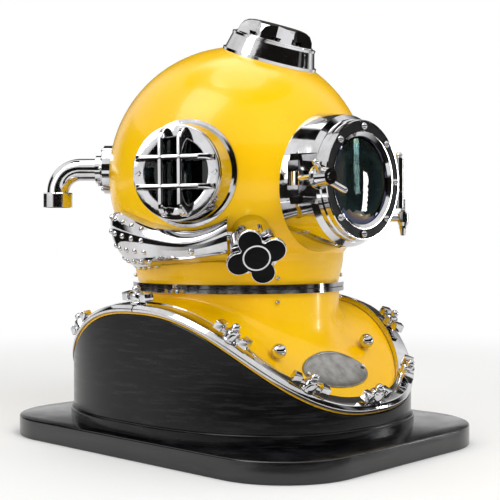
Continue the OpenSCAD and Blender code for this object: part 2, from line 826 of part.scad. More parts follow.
module along_swing_bolt() {
    in_face() translate([-bolt_x, 0, bolt_pin_y]) rotate([0, -bolt_lean, 0]) children();
}

module swing_bolt() {
    color("#d8dadc") along_swing_bolt() difference() {
        union() {
            rotate([90, 0, 0]) cylinder(r = bolt_eye_r, h = bolt_eye_h, center = true, $fn = 48);
            cylinder(r = bolt_r, h = bolt_len, $fn = 32);
        }
        rotate([90, 0, 0]) cylinder(r = bolt_pin_r + fit, h = bolt_eye_h + 2, center = true, $fn = 32);
    }
}

module clamp_wing_nut() {
    color("#c9b37c") along_swing_bolt() rotate([0, 0, clamp_turn]) difference() {
        union() {
            translate([0, 0, nut_seat]) cylinder(r = clamp_foot_r, h = clamp_foot_t, $fn = 48);
            translate([0, 0, nut_seat + clamp_foot_t])
                cylinder(r1 = clamp_hub_r + 1, r2 = clamp_hub_r - 1.5, h = clamp_hub_h, $fn = 48);
            for (side = [-1, 1]) hull() {
                translate([side * 5, 0, nut_seat + 8]) sphere(r = clamp_wing_r, $fn = 24);
                translate([side * (clamp_span - clamp_wing_r), 0, nut_seat + 18])
                    sphere(r = clamp_wing_r, $fn = 24);
            }
        }
        translate([0, 0, nut_seat - 1]) cylinder(r = bolt_r + fit, h = 40, $fn = 32);
    }
}

// Side ports

side_port_rise = -1.4;
side_foot = bonnet_r - 20;
port_lip_low = bonnet_r - 16;
port_sleeve_low = bonnet_r - 9;
port_bore_r = side_window_r + 1;
port_seat_r = side_hole_r - 0.4;
guard_plate_t = 3.5;
frame_top = side_port_reach - guard_plate_t;
port_glass_depth = 17;
port_glass_low = side_port_reach - port_glass_depth;
port_glass_t = 5;
port_gasket_t = 1.2;
guard_bar_x = 10.7;
guard_bar_y = 14.8;
port_screw_ring = (side_port_r + side_window_r) / 2 + 0.6;

module on_side(side) {
    out_of_bonnet(side * side_port_angle, side_port_rise) children();
}

module side_port_frame(side) {
    color("#cdd0d3") on_side(side) difference() {
        union() {
            difference() {
                union() {
                    translate([0, 0, side_foot])
                        cylinder(r1 = side_port_r + 6, r2 = side_port_r + 0.6, h = frame_top - side_foot);
                    translate([0, 0, port_lip_low]) cylinder(r = side_port_r + 7.5, h = 8);
                }
                sphere(r = bonnet_r + seam, $fn = 160);
            }
            tube(side_hole_r - 0.2, port_bore_r, port_sleeve_low, port_glass_low);
        }
        bonnet_cut(port_bore_r);
        translate([0, 0, port_glass_low - port_gasket_t]) cylinder(r = port_seat_r + 0.1, h = 60);
        for (a = [0, 180]) rotate([0, 0, a]) translate([port_screw_ring, 0, frame_top - 6])
            cylinder(r = 1.6 + seam, h = 10, $fn = 24);
    }
}

module port_glass(side) {
    color("#30383c", 0.5) on_side(side) translate([0, 0, port_glass_low])
        cylinder(r = port_seat_r - 0.1, h = port_glass_t);
}

module port_gaskets() {
    color("#222222") {
        for (side = [-1, 1]) on_side(side)
            tube(port_seat_r - 0.1, port_bore_r + 0.5, port_glass_low - port_gasket_t, port_glass_low);
        on_top() tube(top_seat_r - 0.1, top_bore_r + 0.5, top_glass_low - port_gasket_t, top_glass_low);
    }
}

// A bar of the guard: it arches up from the plate and reaches back to the glass
module guard_bar(offset_y) {
    half = sqrt(pow(side_port_r - 1.2, 2) - pow(abs(offset_y) + guard_bar_t / 2, 2));
    inner = sqrt(pow(side_window_r, 2) - pow(abs(offset_y) - guard_bar_t / 2, 2)) + 0.5;
    top = side_port_reach + guard_bar_rise;
    low = port_glass_low + port_glass_t + 1.5;
    translate([0, offset_y + guard_bar_t / 2, 0]) rotate([90, 0, 0]) linear_extrude(guard_bar_t) polygon([
        [-half, side_port_reach - 1], [-half, side_port_reach + 2],
        [-half + 3.5, side_port_reach + guard_bar_rise * 0.75], [-half + 10, top],
        [half - 10, top], [half - 3.5, side_port_reach + guard_bar_rise * 0.75],
        [half, side_port_reach + 2], [half, side_port_reach - 1],
        [inner, side_port_reach - 1], [inner - 1.5, low], [1.5 - inner, low], [-inner, side_port_reach - 1]]);
}

module side_port_guard(side) {
    color("#e2e4e6") on_side(side) difference() {
        union() {
            tube(side_port_r, side_window_r, frame_top, side_port_reach);
            tube(port_seat_r - 0.2, side_window_r, port_glass_low + port_glass_t + 0.1, frame_top);
            for (side_x = [-1, 1]) rotate([0, 0, 90]) guard_bar(side_x * guard_bar_x);
            for (side_y = [-1, 1]) guard_bar(side_y * guard_bar_y);
        }
        for (a = [0, 180]) rotate([0, 0, a]) translate([port_screw_ring, 0, frame_top - 8])
            cylinder(r = 1.6 + seam, h = 20, $fn = 24);
    }
}

module port_screws() {
    color("#e4e6e8") for (side = [-1, 1]) on_side(side)
        for (a = [0, 180]) rotate([0, 0, a]) translate([port_screw_ring, 0, 0]) {
            translate([0, 0, frame_top - 5.5]) cylinder(r = 1.6, h = guard_plate_t + 5.5, $fn = 24);
            translate([0, 0, side_port_reach]) difference() {
                cylinder(r = 3, h = 1.6, $fn = 32);
                translate([0, 0, 1.6]) rotate([0, 0, 35]) cube([8, 0.8, 1.4], center = true);
            }
        }
}

module right_port_frame() { side_port_frame(1); }
module left_port_frame() { side_port_frame(-1); }
module right_port_glass() { port_glass(1); }
module left_port_glass() { port_glass(-1); }
module right_port_guard() { side_port_guard(1); }
module left_port_guard() { side_port_guard(-1); }

// Top port

top_frame_rise = 12.5;     // above the bonnet's surface
top_frame_reach = bonnet_r + top_frame_rise;
top_foot = bonnet_r - 12;
top_lip_h = 9;
top_glass_depth = 9.5;
top_bore_r = 36;
top_seat_r = 40;
top_glass_low = top_frame_reach - top_glass_depth;
top_guard_h = 17;
top_guard_flat_r = 28;
top_guard_foot = 1.5;
top_valley_r = 27.5;       // where a valley's crease meets the flat top
top_valley_slope = 14.5;   // the crease runs outwards going down
top_valley_angle = 65;     // half angle of a valley
top_guard_bore_r = 34;
top_guard_turn = 6;

module on_top() {
    out_of_bonnet(0, 90 - top_port_lean) children();
}

module top_port_frame() {
    color("#cdd0d3") on_top() difference() {
        union() {
            difference() {
                union() {
                    translate([0, 0, top_foot])
                        cylinder(r1 = top_port_r, r2 = top_port_r - 6.5, h = top_frame_reach - top_foot);
                    translate([0, 0, port_lip_low]) cylinder(r = top_port_r + 0.8, h = top_lip_h);
                    translate([0, 0, top_frame_reach - 2.5]) cylinder(r = top_port_r - 5.3, h = 2.5);
                }
                sphere(r = bonnet_r + seam, $fn = 160);
            }
            tube(top_hole_r - 0.2, top_bore_r, port_sleeve_low, top_glass_low);
        }
        bonnet_cut(top_bore_r);
        translate([0, 0, top_glass_low - port_gasket_t]) cylinder(r = top_seat_r + 0.1, h = 60);
    }
}

module top_port_glass() {
    color("#30383c", 0.5) on_top() translate([0, 0, top_glass_low])
        cylinder(r = top_seat_r - 0.1, h = port_glass_t);
}

module top_port_guard() {
    color("#e2e4e6") on_top() difference() {
        union() {
            translate([0, 0, top_frame_reach + seam]) rotate_extrude() polygon([
                [0, 0], [top_guard_r + 1, 0], [top_guard_r + 1, top_guard_foot], [top_guard_r, 2],
                [top_guard_r - 1.2, top_guard_h * 0.45], [top_guard_r - 5, top_guard_h * 0.78],
                [top_guard_r - 10, top_guard_h * 0.94], [top_guard_flat_r, top_guard_h], [0, top_guard_h]]);
            tube(top_seat_r - 0.2, top_bore_r, top_glass_low + port_glass_t + 0.1, top_frame_reach + 1);
        }
        translate([0, 0, top_frame_reach - 1]) cylinder(r = top_guard_bore_r, h = 6);
        for (i = [0 : top_window_count - 1]) rotate([0, 0, 360 / top_window_count * (i + 0.5) + 90 + top_guard_turn])
            intersection() {
                translate([top_valley_r, 0, top_frame_reach + top_guard_h]) rotate([0, -top_valley_slope, 0])
                    translate([0, 0, -60]) linear_extrude(100)
                    polygon([[0, 0], [60, -60 * tan(top_valley_angle)], [60, 60 * tan(top_valley_angle)]]);
                translate([0, -top_guard_r, top_frame_reach + top_guard_foot])
                    cube([2 * top_guard_r, 2 * top_guard_r, 2 * top_guard_h]);
            }
        translate([0, 0, top_frame_reach - 20]) tube(90, top_guard_r + 1, 0, 40);
    }
}

// Exhaust valve, its handwheel and the channel that carries the air aft

valve_base_r = 20.5;
valve_cap_r = 24.5;
valve_cap_h = 24;
valve_low = bonnet_r - 10;
valve_cap_low = bonnet_r + 22;
valve_cap_top = valve_cap_low + valve_cap_h;
valve_seat = bonnet_r + 3;
valve_seat_r = 9;
valve_bore_r = 15;
valve_disc_r = 12.5;
valve_disc_t = 2.5;
valve_stem_r = 2.5;
chin_button_r = 11;
chin_button_low = bonnet_r - 24;
wheel_low = valve_cap_top + 4;
wheel_lobe_r = 12.2;
wheel_hub_r = 18;
wheel_spindle_r = 4;
wheel_first_lobe = 24;
wheel_ring_r = 14.2;
outlet_r = 5.5;
outlet_z = bonnet_r + 7.5;

module on_valve() {
    out_of_bonnet(valve_angle, -valve_dip) children();
}

module exhaust_valve_body() {
    color("#c9ccd0") on_valve() difference() {
        union() {
            difference() {
                union() {
                    translate([0, 0, valve_low]) cylinder(r = valve_base_r, h = valve_cap_low - valve_low);
                    translate([0, 0, valve_cap_low - 3]) cylinder(r1 = valve_base_r, r2 = valve_cap_r, h = 3);
                    translate([0, 0, valve_cap_low]) cylinder(r = valve_cap_r, h = valve_cap_h);
                    translate([0, 0, outlet_z]) rotate([0, -90, 0]) cylinder(r = outlet_r, h = 30);
                }
                sphere(r = bonnet_r + seam, $fn = 160);
            }
            tube(valve_hole_r - 0.1, valve_seat_r, bonnet_r - 4, valve_seat);
        }
        translate([0, 0, valve_low]) cylinder(r = valve_seat_r, h = 20);
        translate([0, 0, valve_seat]) cylinder(r = valve_bore_r, h = valve_cap_top - valve_seat - 8);
        translate([0, 0, cut_low]) cylinder(r = wheel_spindle_r + fit, h = 120, $fn = 48);
        translate([0, 0, outlet_z]) rotate([0, -90, 0]) cylinder(r = outlet_r - 1.5, h = 40);
        for (i = [0 : 5]) rotate([0, 0, 60 * i + 20]) translate([valve_cap_r, 0, valve_cap_low + 8])
            cylinder(r = 2.2, h = 30, $fn = 24);
    }
}

module exhaust_valve_stem() {
    color("#b5a15f") on_valve() {
        translate([0, 0, valve_seat + seam]) cylinder(r = valve_disc_r, h = valve_disc_t);
        translate([0, 0, chin_button_low + 2])
            cylinder(r = valve_stem_r, h = valve_seat + 16 - chin_button_low - 2, $fn = 32);
        translate([0, 0, chin_button_low]) cylinder(r = chin_button_r, h = 4);
    }
}

spring_r = 8;
spring_wire_r = 0.9;
spring_turns = 4;
spring_low = valve_seat + valve_disc_t + valve_lift + 2.4;
spring_top = valve_cap_top - 8 - spring_wire_r - 0.2;

function spring_ring(turn) =
    let (z = spring_low + (spring_top - spring_low) * turn / spring_turns, a = 360 * turn)
    [for (j = [0 : 5]) let (b = 60 * j)
        [(spring_r + spring_wire_r * cos(b)) * cos(a), (spring_r + spring_wire_r * cos(b)) * sin(a),
         z + spring_wire_r * sin(b)]];

module regulating_spring() {
    color("#9aa0a6") on_valve()
        loft([for (i = [0 : 8 * spring_turns]) spring_ring(i / 8)], false);
}

module wheel_plan(r, lobe) {
    for (i = [0 : 3]) rotate([0, 0, wheel_first_lobe - 90 + 90 * i]) {
        translate([r - lobe, 0]) circle(r = lobe);
        translate([0, -lobe * 0.8]) square([r - lobe, lobe * 1.6]);
    }
    circle(r = wheel_hub_r);
}

module exhaust_handwheel() {
    color("#0e0f12") on_valve() {
        difference() {
            translate([0, 0, wheel_low]) linear_extrude(wheel_t) wheel_plan(wheel_r, wheel_lobe_r);
            translate([0, 0, wheel_low + wheel_t - 1.2])
                tube(wheel_ring_r, wheel_ring_r - 1.7, 0, 4);
        }
        translate([0, 0, valve_cap_top + 0.2]) cylinder(r = 9, h = wheel_low - valve_cap_top);
        translate([0, 0, spring_top + spring_wire_r + 0.1])
            cylinder(r = wheel_spindle_r, h = wheel_low - spring_top, $fn = 48);
    }
}

module handwheel_ring() {
    color("#d8dadc") on_valve()
        tube(wheel_ring_r - seam, wheel_ring_r - 1.7 + seam, wheel_low + wheel_t - 1.2, wheel_low + wheel_t + 1);
}

// Channel sections follow the bonnet, from the valve back under the side port
channel_front = 51;
channel_back = 117;
channel_wall = 1.8;
channel_steps = 22;
channel_sides = 12;
channel_top_dip = 24.3;    // degrees below the bonnet's equator under the port
channel_low_dip = 36.5;
channel_low_fall = 0.08;   // how much lower each degree aft
channel_waist = 3.8;
channel_waist_w = 12;
channel_flare = 2.6;       // degrees that the mouth opens upwards, half of it downwards
channel_round = 17;        // degrees over which the back end rounds off

function channel_point(angle, dip, reach) =
    [-reach * sin(angle) * cos(dip), -reach * cos(angle) * cos(dip), bonnet_z - reach * sin(dip)];
function channel_mouth(angle) =
    channel_flare * pow(max(0, side_port_angle - angle) / (side_port_angle - channel_front), 2);
function channel_top(angle) =
    channel_top_dip - channel_mouth(angle) - channel_waist * (sqrt(1 + pow((angle - side_port_angle) / channel_waist_w, 2)) - 1);
function channel_low(angle) =
    channel_low_dip + channel_mouth(angle) / 2 + channel_low_fall * (angle - channel_front);
function skirt_reach(dip, guess = bonnet_r, rounds = 5) = rounds == 0 ? guess :
    let (t = max(0, (guess * sin(dip) - skirt_top) / (skirt_low - skirt_top)))
    skirt_reach(dip, skirt_r(bonnet_r, skirt_foot_r, t) / cos(dip), rounds - 1);
function channel_section(angle, inset) =
    let (t = (angle - channel_front) / (channel_back - channel_front),
         left = (channel_back + 0.02 - angle) / channel_round,
         close = left >= 1 ? 1 : pow(1 - pow(1 - left, 2.4), 1 / 2.4),
         mid = (channel_low(angle) + channel_top(angle)) / 2,
         half = (channel_low(angle) - channel_top(angle)) / 2 * (0.4 + 0.6 * close)
             - inset / bonnet_r * 180 / PI,
         rise = max((channel_rise + 4 * t) * close - inset, 0.4))
    [for (j = [0 : channel_sides])
        let (u = 180 * j / channel_sides - 90, dip = mid + half * sin(u),
             reach = max(bonnet_r + rise * pow(cos(u), 0.6), skirt_reach(dip)))
        channel_point(angle, dip, reach + 2 * seam)];

module exhaust_channel() {
    step = (channel_back - channel_front) / channel_steps;
    color("#c9ccd0") difference() {
        loft([for (i = [0 : channel_steps]) let (angle = channel_front + i * step)
            concat(channel_section(angle, 0), reversed(channel_section(angle, channel_wall)))], false);
        out_of_bonnet(channel_screw_angle, -channel_screw_dip) translate([0, 0, 140])
            cylinder(r = 1.8, h = 60, $fn = 24);
    }
}

channel_screw_dip = 30;
channel_screw_angle = 66;
bead_rows = 5;
bead_columns = 5;
bead_r = 2;

module channel_beads() {
    color("#e4e6e8") {
        for (i = [0 : bead_columns - 1], j = [0 : bead_rows - 1]) {
            angle = channel_back - 28 + i * 5.4;
            section = channel_section(angle, 0.8);
            spot = section[2 + 2 * j];
            translate(spot) sphere(r = bead_r, $fn = 16);
        }
        angle = channel_screw_angle;
        out_of_bonnet(angle, -channel_screw_dip) translate([0, 0, bonnet_r + 0.2]) {
            cylinder(r = 1.7, h = channel_rise + 1, $fn = 24);
            translate([0, 0, channel_rise + 1]) cylinder(r = 3.4, h = 2, $fn = 32);
        }
    }
}

// Goosenecks for air and telephone

flange_r = 28;
gooseneck_low = bonnet_r - 4;
flange_reach = bonnet_r + 1;
flange_t = 5;
bend_start = bonnet_r + 34.4;
tail_len = 4;
hose_nut_r = 17.2;
hose_nut_h = 17;
hose_bore_r = 15;
tail_collar_r = gooseneck_r + 1.2;
tail_collar_t = 3;
gooseneck_bore_r = gooseneck_r - 3;
check_cage_r = gooseneck_bore_r - 0.05;
check_port_r = 5.5;
check_disc_r = 7.6;
check_disc_t = 1.6;
check_seat = bonnet_r + 6;
check_lift = 3;
check_rim = 2;
check_pocket = check_seat - check_disc_t - check_lift - gap;
gooseneck_screw_ring = 22.5;
gooseneck_screw_r = 2.7;
gooseneck_stem_r = 1.6;
gooseneck_screw_seat = flange_reach + flange_t + 0.6;

module on_gooseneck() {
    level_out(gooseneck_angle, bonnet_z + gooseneck_lift) children();
}

// Frame at the end of the bend: local +Z runs on out of the tube
module gooseneck_end() {
    translate([0, -gooseneck_bend_r, bend_start + gooseneck_bend_r]) rotate([90, 0, 0]) children();
}

module gooseneck_arc(r) {
    translate([0, -gooseneck_bend_r, bend_start]) rotate([90, 0, 90])
        rotate_extrude(angle = 90) translate([gooseneck_bend_r, 0]) circle(r = r);
}

module gooseneck() {
    color("#d0d3d6") on_gooseneck() difference() {
        union() {
            translate([0, 0, gooseneck_low]) cylinder(r = flange_r, h = flange_reach + flange_t - gooseneck_low);
            translate([0, 0, flange_reach + flange_t]) cylinder(r1 = flange_r - 1, r2 = 16, h = 4);
            translate([0, 0, flange_reach + flange_t]) cylinder(r = 16.2, h = 10);
            translate([0, 0, flange_reach + 6]) cylinder(r = gooseneck_r, h = bend_start - flange_reach - 6);
            translate([0, 0, flange_reach + flange_t + 6]) rotate([90, 0, 0]) cylinder(r = 2.5, h = 19, $fn = 24);
            gooseneck_arc(gooseneck_r);
            gooseneck_end() {
                cylinder(r = gooseneck_r, h = tail_len + tail_collar_t);
                translate([0, 0, tail_len + gap]) cylinder(r = tail_collar_r, h = tail_collar_t - gap);
            }
        }
        translate([0, 0, cut_low]) cylinder(r = gooseneck_bore_r, h = bend_start - cut_low);
        gooseneck_arc(gooseneck_bore_r);
        gooseneck_end() cylinder(r = gooseneck_bore_r, h = 20);
        translate([0, -gooseneck_lift, 0]) sphere(r = bonnet_r + seam, $fn = 160);
        for (i = [0 : 3]) rotate([0, 0, 90 * i]) translate([0, gooseneck_screw_ring, 0]) {
            translate([0, 0, cut_low + 30]) cylinder(r = gooseneck_stem_r + seam, h = 60, $fn = 24);
            translate([0, 0, gooseneck_screw_seat]) cylinder(r = gooseneck_screw_r + 0.3, h = 20, $fn = 32);
        }
    }
}

module air_gooseneck() { gooseneck(); }
module telephone_gooseneck() { diver_left() gooseneck(); }

module hose_nut() {
    color("#d8dadc") on_gooseneck() gooseneck_end() difference() {
        union() {
            cylinder(r1 = hose_nut_r - 1.2, r2 = hose_nut_r, h = 1.5);
            translate([0, 0, 1.5]) cylinder(r = hose_nut_r, h = hose_nut_h - 1.5);
        }
        translate([0, 0, -1]) cylinder(r = gooseneck_r + fit, h = 20);
        translate([0, 0, tail_len]) cylinder(r = tail_collar_r + gap, h = 20);
        translate([0, 0, tail_len + tail_collar_t + gap]) cylinder(r = hose_bore_r, h = 20);
    }
}

module air_hose_nut() { hose_nut(); }
module telephone_cable_nut() { diver_left() hose_nut(); }

module four_screws() {
    on_gooseneck() for (i = [0 : 3]) rotate([0, 0, 90 * i])
        translate([0, gooseneck_screw_ring, gooseneck_screw_seat])
            ball_screw(gooseneck_screw_r, gooseneck_stem_r, flange_t);
}

module gooseneck_screws() {
    color("#d8dadc") {
        four_screws();
        diver_left() four_screws();
    }
}

// Air pushes the disc off its seat, inwards and away from the hose
module air_check_valve() {
    color("#b5a15f") on_gooseneck() difference() {
        tube(check_cage_r, check_port_r, check_pocket - check_rim, check_seat + 9);
        translate([0, 0, check_pocket]) cylinder(r = check_disc_r + fit, h = check_seat - check_pocket);
    }
}

module check_valve_disc() {
    color("#8a6f3a") on_gooseneck() translate([0, 0, check_seat - check_disc_t - seam]) {
        cylinder(r = check_disc_r, h = check_disc_t);
        cylinder(r = 2, h = check_disc_t + 5, $fn = 24);
    }
}

// Spitcock and the pieces inside the bonnet

spit_reach = bonnet_r + 40;
spit_pipe_r = 4.2;
spit_inlet_z = bonnet_z - 48;
spit_body_r = 6.2;
lever_stem_r = 2.6;

module at_spitcock() {
    translate([0, 0, spit_inlet_z]) rotate([0, 0, spitcock_angle]) translate([0, -spit_reach, 0]) children();
}

module spitcock_body() {
    color("#d0c4a0") difference() {
        union() {
            at_spitcock() {
                translate([0, 0, -5]) cylinder(r = spit_body_r, h = 10, $fn = 48);
                translate([0, 0, -9]) cylinder(r1 = 4.6, r2 = spit_body_r, h = 4, $fn = 48);
                translate([0, 0, -12]) cylinder(r = 4.6, h = 3, $fn = 48);
                translate([0, 0, -20]) cylinder(r1 = 2.6, r2 = 4, h = 8, $fn = 48);
            }
            difference() {
                level_out(-spitcock_angle, spit_inlet_z) {
                    translate([0, 0, bonnet_r - 30]) cylinder(r = spit_pipe_r, h = spit_reach - bonnet_r + 30, $fn = 48);
                    translate([0, 0, bonnet_r - 20]) cylinder(r = 9, h = 16, $fn = 48);
                }
                translate([0, 0, bonnet_z]) sphere(r = bonnet_r + seam, $fn = 160);
            }
            level_out(-spitcock_angle, spit_inlet_z) translate([0, 0, bonnet_r - 14])
                cylinder(r = spit_hole_r, h = 12, $fn = 32);
        }
        at_spitcock() translate([0, 0, -3]) cylinder(r = lever_stem_r + fit, h = 30, $fn = 32);
        at_spitcock() translate([0, 0, -30]) cylinder(r = 1.5, h = 28, $fn = 24);
    }
}

module spitcock_lever() {
    color("#d8dadc") at_spitcock() {
        translate([0, 0, -2.8]) cylinder(r = lever_stem_r, h = 24, $fn = 32);
        translate([0, 0, 5.2]) cylinder(r = 4.4, h = 2, $fn = 32);
        for (z = [11, 19]) translate([-3.6, 0, z]) rotate([90, 0, 0])
            cylinder(r = 4.3, h = 4.4, center = true, $fn = 32);
        translate([3.2, 0, 15]) cube([2.6, 4.4, 14], center = true);
    }
}

receiver_r = 26;
receiver_low = bonnet_r - 22;

module telephone_receiver() {
    color("#2a2a2c") out_of_bonnet(-gooseneck_angle + 18, 30) {
        difference() {
            translate([0, 0, receiver_low]) cylinder(r = receiver_r, h = 22);
            translate([0, 0, receiver_low - 2]) cylinder(r = receiver_r - 4, h = 14);
            difference() {
                sphere(r = bonnet_r + 40);
                sphere(r = bonnet_r - bonnet_wall - gap, $fn = 160);
            }
        }
    }
}

duct_wall = 1.5;
duct_depth = 15.5;
duct_inner_r = bonnet_r - bonnet_wall - duct_depth;
duct_low = 49;
duct_high = 70;
duct_from = 30;
duct_to = 147;
duct_drop_w = 15;

// The duct leads from the air inlet up and forward over the right side port
module duct_band(from, to, low, high) {
    rotate([0, 0, -90 - to]) rotate_extrude(angle = to - from)
        translate([bonnet_r - 60, low]) square([70, high - low]);
}

module duct_space(inset) {
    duct_band(duct_from, duct_to - inset, duct_low + inset, duct_high - inset);
    duct_band(duct_to - duct_drop_w + inset, duct_to - inset, -8 + inset, duct_high - inset);
}

module air_deflector() {
    color("#c8a24a") translate([0, 0, bonnet_z]) difference() {
        intersection() {
            duct_space(0);
            sphere(r = bonnet_r - bonnet_wall - gap, $fn = 160);
        }
        sphere(r = duct_inner_r, $fn = 96);
        difference() {
            duct_space(duct_wall);
            sphere(r = duct_inner_r + duct_wall, $fn = 96);
        }
    }
}

plinth_board();
stand_pedestal();
pedestal_foot_band();
wood_screws();
breastplate_shell();
breastplate_neck_ring();
neck_gasket();
rim_gasket();
front_right_brail();
front_left_brail();
rear_right_brail();
rear_left_brail();
rim_studs();
wing_nuts();
lanyard_studs();
neck_screws();
name_plate();
name_plate_pins();
bonnet_shell();
bonnet_neck_ring();
bonnet_screws();
faceplate_collar();
hinge_pin();
swing_bolt_pin();
faceplate_door();
faceplate_band();
faceplate_glass();
faceplate_gasket();
faceplate_screws();
swing_bolt();
clamp_wing_nut();
right_port_frame();
right_port_glass();
right_port_guard();
left_port_frame();
left_port_glass();
left_port_guard();
port_gaskets();
port_screws();
top_port_frame();
top_port_glass();
top_port_guard();
exhaust_valve_body();
exhaust_valve_stem();
regulating_spring();
exhaust_handwheel();
handwheel_ring();
exhaust_channel();
channel_beads();
air_gooseneck();
telephone_gooseneck();
gooseneck_screws();
air_hose_nut();
telephone_cable_nut();
air_check_valve();
check_valve_disc();
spitcock_body();
spitcock_lever();
telephone_receiver();
air_deflector();
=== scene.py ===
import json
import math
from functools import lru_cache

import bmesh
import bpy
from mathutils import Matrix, Vector
from mathutils.bvhtree import BVHTree


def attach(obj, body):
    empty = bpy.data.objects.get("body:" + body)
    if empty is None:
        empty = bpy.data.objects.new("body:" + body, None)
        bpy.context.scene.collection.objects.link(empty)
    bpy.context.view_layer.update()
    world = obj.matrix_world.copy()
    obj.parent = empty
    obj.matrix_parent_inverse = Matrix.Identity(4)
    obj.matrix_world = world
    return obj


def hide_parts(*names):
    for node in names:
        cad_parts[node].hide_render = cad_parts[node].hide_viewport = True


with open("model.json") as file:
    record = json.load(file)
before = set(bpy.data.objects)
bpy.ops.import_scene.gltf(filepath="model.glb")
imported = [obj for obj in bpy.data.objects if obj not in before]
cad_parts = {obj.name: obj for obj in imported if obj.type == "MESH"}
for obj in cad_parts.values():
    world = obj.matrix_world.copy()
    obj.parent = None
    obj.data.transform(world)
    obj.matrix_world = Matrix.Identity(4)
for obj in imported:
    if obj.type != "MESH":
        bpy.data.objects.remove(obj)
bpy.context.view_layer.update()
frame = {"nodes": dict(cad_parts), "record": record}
nodes = frame["nodes"]
record = frame["record"]
nodeBody = {node: body for body, members in record["behaviour"]["bodies"].items() for node in members}
scene = bpy.context.scene
print("frame loaded:", len(nodes), "nodes")


# colours and nodes
def hexColour(text):
    parts = [int(text[i:i + 2], 16) / 255 for i in (1, 3, 5)]
    linear = [c / 12.92 if c <= 0.04045 else ((c + 0.055) / 1.055) ** 2.4 for c in parts]
    return (*linear, 1.0)


def addNode(tree, kind, values=None, links=None, **settings):
    made = tree.nodes.new(kind)
    for key, value in settings.items():
        setattr(made, key, value)
    for key, value in (values or {}).items():
        made.inputs[key].default_value = value
    for key, source in (links or {}).items():
        tree.links.new(source, made.inputs[key])
    return made


def newMaterial(name):
    made = bpy.data.materials.new(name)
    made.use_nodes = True
    tree = made.node_tree
    shader = tree.nodes["Principled BSDF"]
    return made, tree, shader


def objectSpot(tree, scale=(1, 1, 1), move=(0, 0, 0)):
    where = addNode(tree, "ShaderNodeTexCoord")
    mapping = addNode(tree, "ShaderNodeMapping", {"Scale": scale, "Location": move},
                      {"Vector": where.outputs["Object"]})
    return mapping.outputs["Vector"]


# the bonnet's size and place, in millimetres as everywhere below
bonnet = {"radius": 150, "wall": 2.5, "centre": 301, "skirt": 87, "window": 290.9}

# what a user would change about the finishes
finishes = {
    "yellow": "#ffcb00",
    "yellowWorn": "#fcc000",
    # inside the bonnet: tinned copper painted near-black, as painted shade
    "tinnedPaintedShade": "#17130f",
    "chrome": "#dcdcdf",
    "chromeDull": "#bdbbba",
    "lacquer": "#08080a",
    "lacquerGrain": "#222225",
    "blackEnamel": "#050608",
    "nickel": "#b4b2ae",
    "nickelDark": "#8a8884",
    "tanRubber": "#b08a52",
    "leather": "#3a2618",
    "blackRubber": "#0d0d0d",
    "brass": "#b8934a",
    "steel": "#8f9194",
    "glass": "#5d7674",
}


# glossy enamel sprayed on copper: a faint orange peel and slow changes of tone
def yellowEnamel():
    made, tree, shader = newMaterial("yellow enamel")
    spot = objectSpot(tree)
    slow = addNode(tree, "ShaderNodeTexNoise", {"Scale": 9, "Detail": 4, "Roughness": 0.55}, {"Vector": spot})
    tone = addNode(tree, "ShaderNodeMapRange", {"From Min": 0.35, "From Max": 0.75},
                   {"Value": slow.outputs["Fac"]})
    yellow = addNode(tree, "ShaderNodeMix",
                     {6: hexColour(finishes["yellow"]), 7: hexColour(finishes["yellowWorn"])},
                     {0: tone.outputs["Result"]}, data_type="RGBA")
    # the copper is tinned inside, and that inside is painted near-black as painted shade; the enamel ends in
    # the middle of the bonnet's wall
    middle = (bonnet["radius"] - bonnet["wall"] / 2) / 1000
    foot = -(bonnet["skirt"] - 1) / 1000
    blur = 0.0002
    centred = objectSpot(tree, move=(0, 0, -bonnet["centre"] / 1000))
    reach = addNode(tree, "ShaderNodeVectorMath", links={0: centred}, operation="LENGTH")
    inside = addNode(tree, "ShaderNodeMapRange", {"From Min": middle + blur, "From Max": middle - blur},
                     {"Value": reach.outputs["Value"]})
    above = addNode(tree, "ShaderNodeSeparateXYZ", links={0: centred})
    headOnly = addNode(tree, "ShaderNodeMapRange", {"From Min": foot - blur, "From Max": foot + blur},
                       {"Value": above.outputs["Z"]})
    both = addNode(tree, "ShaderNodeMath", links={0: inside.outputs["Result"], 1: headOnly.outputs["Result"]},
                   operation="MULTIPLY")
    # the bonnet's inside takes the near-black painted shade in place of the enamel
    colour = addNode(tree, "ShaderNodeMix", {7: hexColour(finishes["tinnedPaintedShade"])},
                     {0: both.outputs[0], 6: yellow.outputs[2]}, data_type="RGBA")
    wiped = addNode(tree, "ShaderNodeTexNoise", {"Scale": 60, "Detail": 3, "Roughness": 0.5},
                    {"Vector": spot})
    gloss = addNode(tree, "ShaderNodeMapRange",
                    {"From Min": 0.3, "From Max": 0.7, "To Min": 0.2, "To Max": 0.28},
                    {"Value": wiped.outputs["Fac"]})
    peel = addNode(tree, "ShaderNodeTexNoise", {"Scale": 240, "Detail": 2, "Roughness": 0.5},
                   {"Vector": spot})
    bump = addNode(tree, "ShaderNodeBump", {"Strength": 0.05, "Distance": 0.0005},
                   {"Height": peel.outputs["Fac"]})
    tree.links.new(colour.outputs[2], shader.inputs["Base Color"])
    tree.links.new(gloss.outputs["Result"], shader.inputs["Roughness"])
    tree.links.new(bump.outputs["Normal"], shader.inputs["Normal"])
    shader.inputs["Specular IOR Level"].default_value = 0.3
    shader.inputs["Coat Weight"].default_value = 0.2
    shader.inputs["Coat Roughness"].default_value = 0.05
    return made


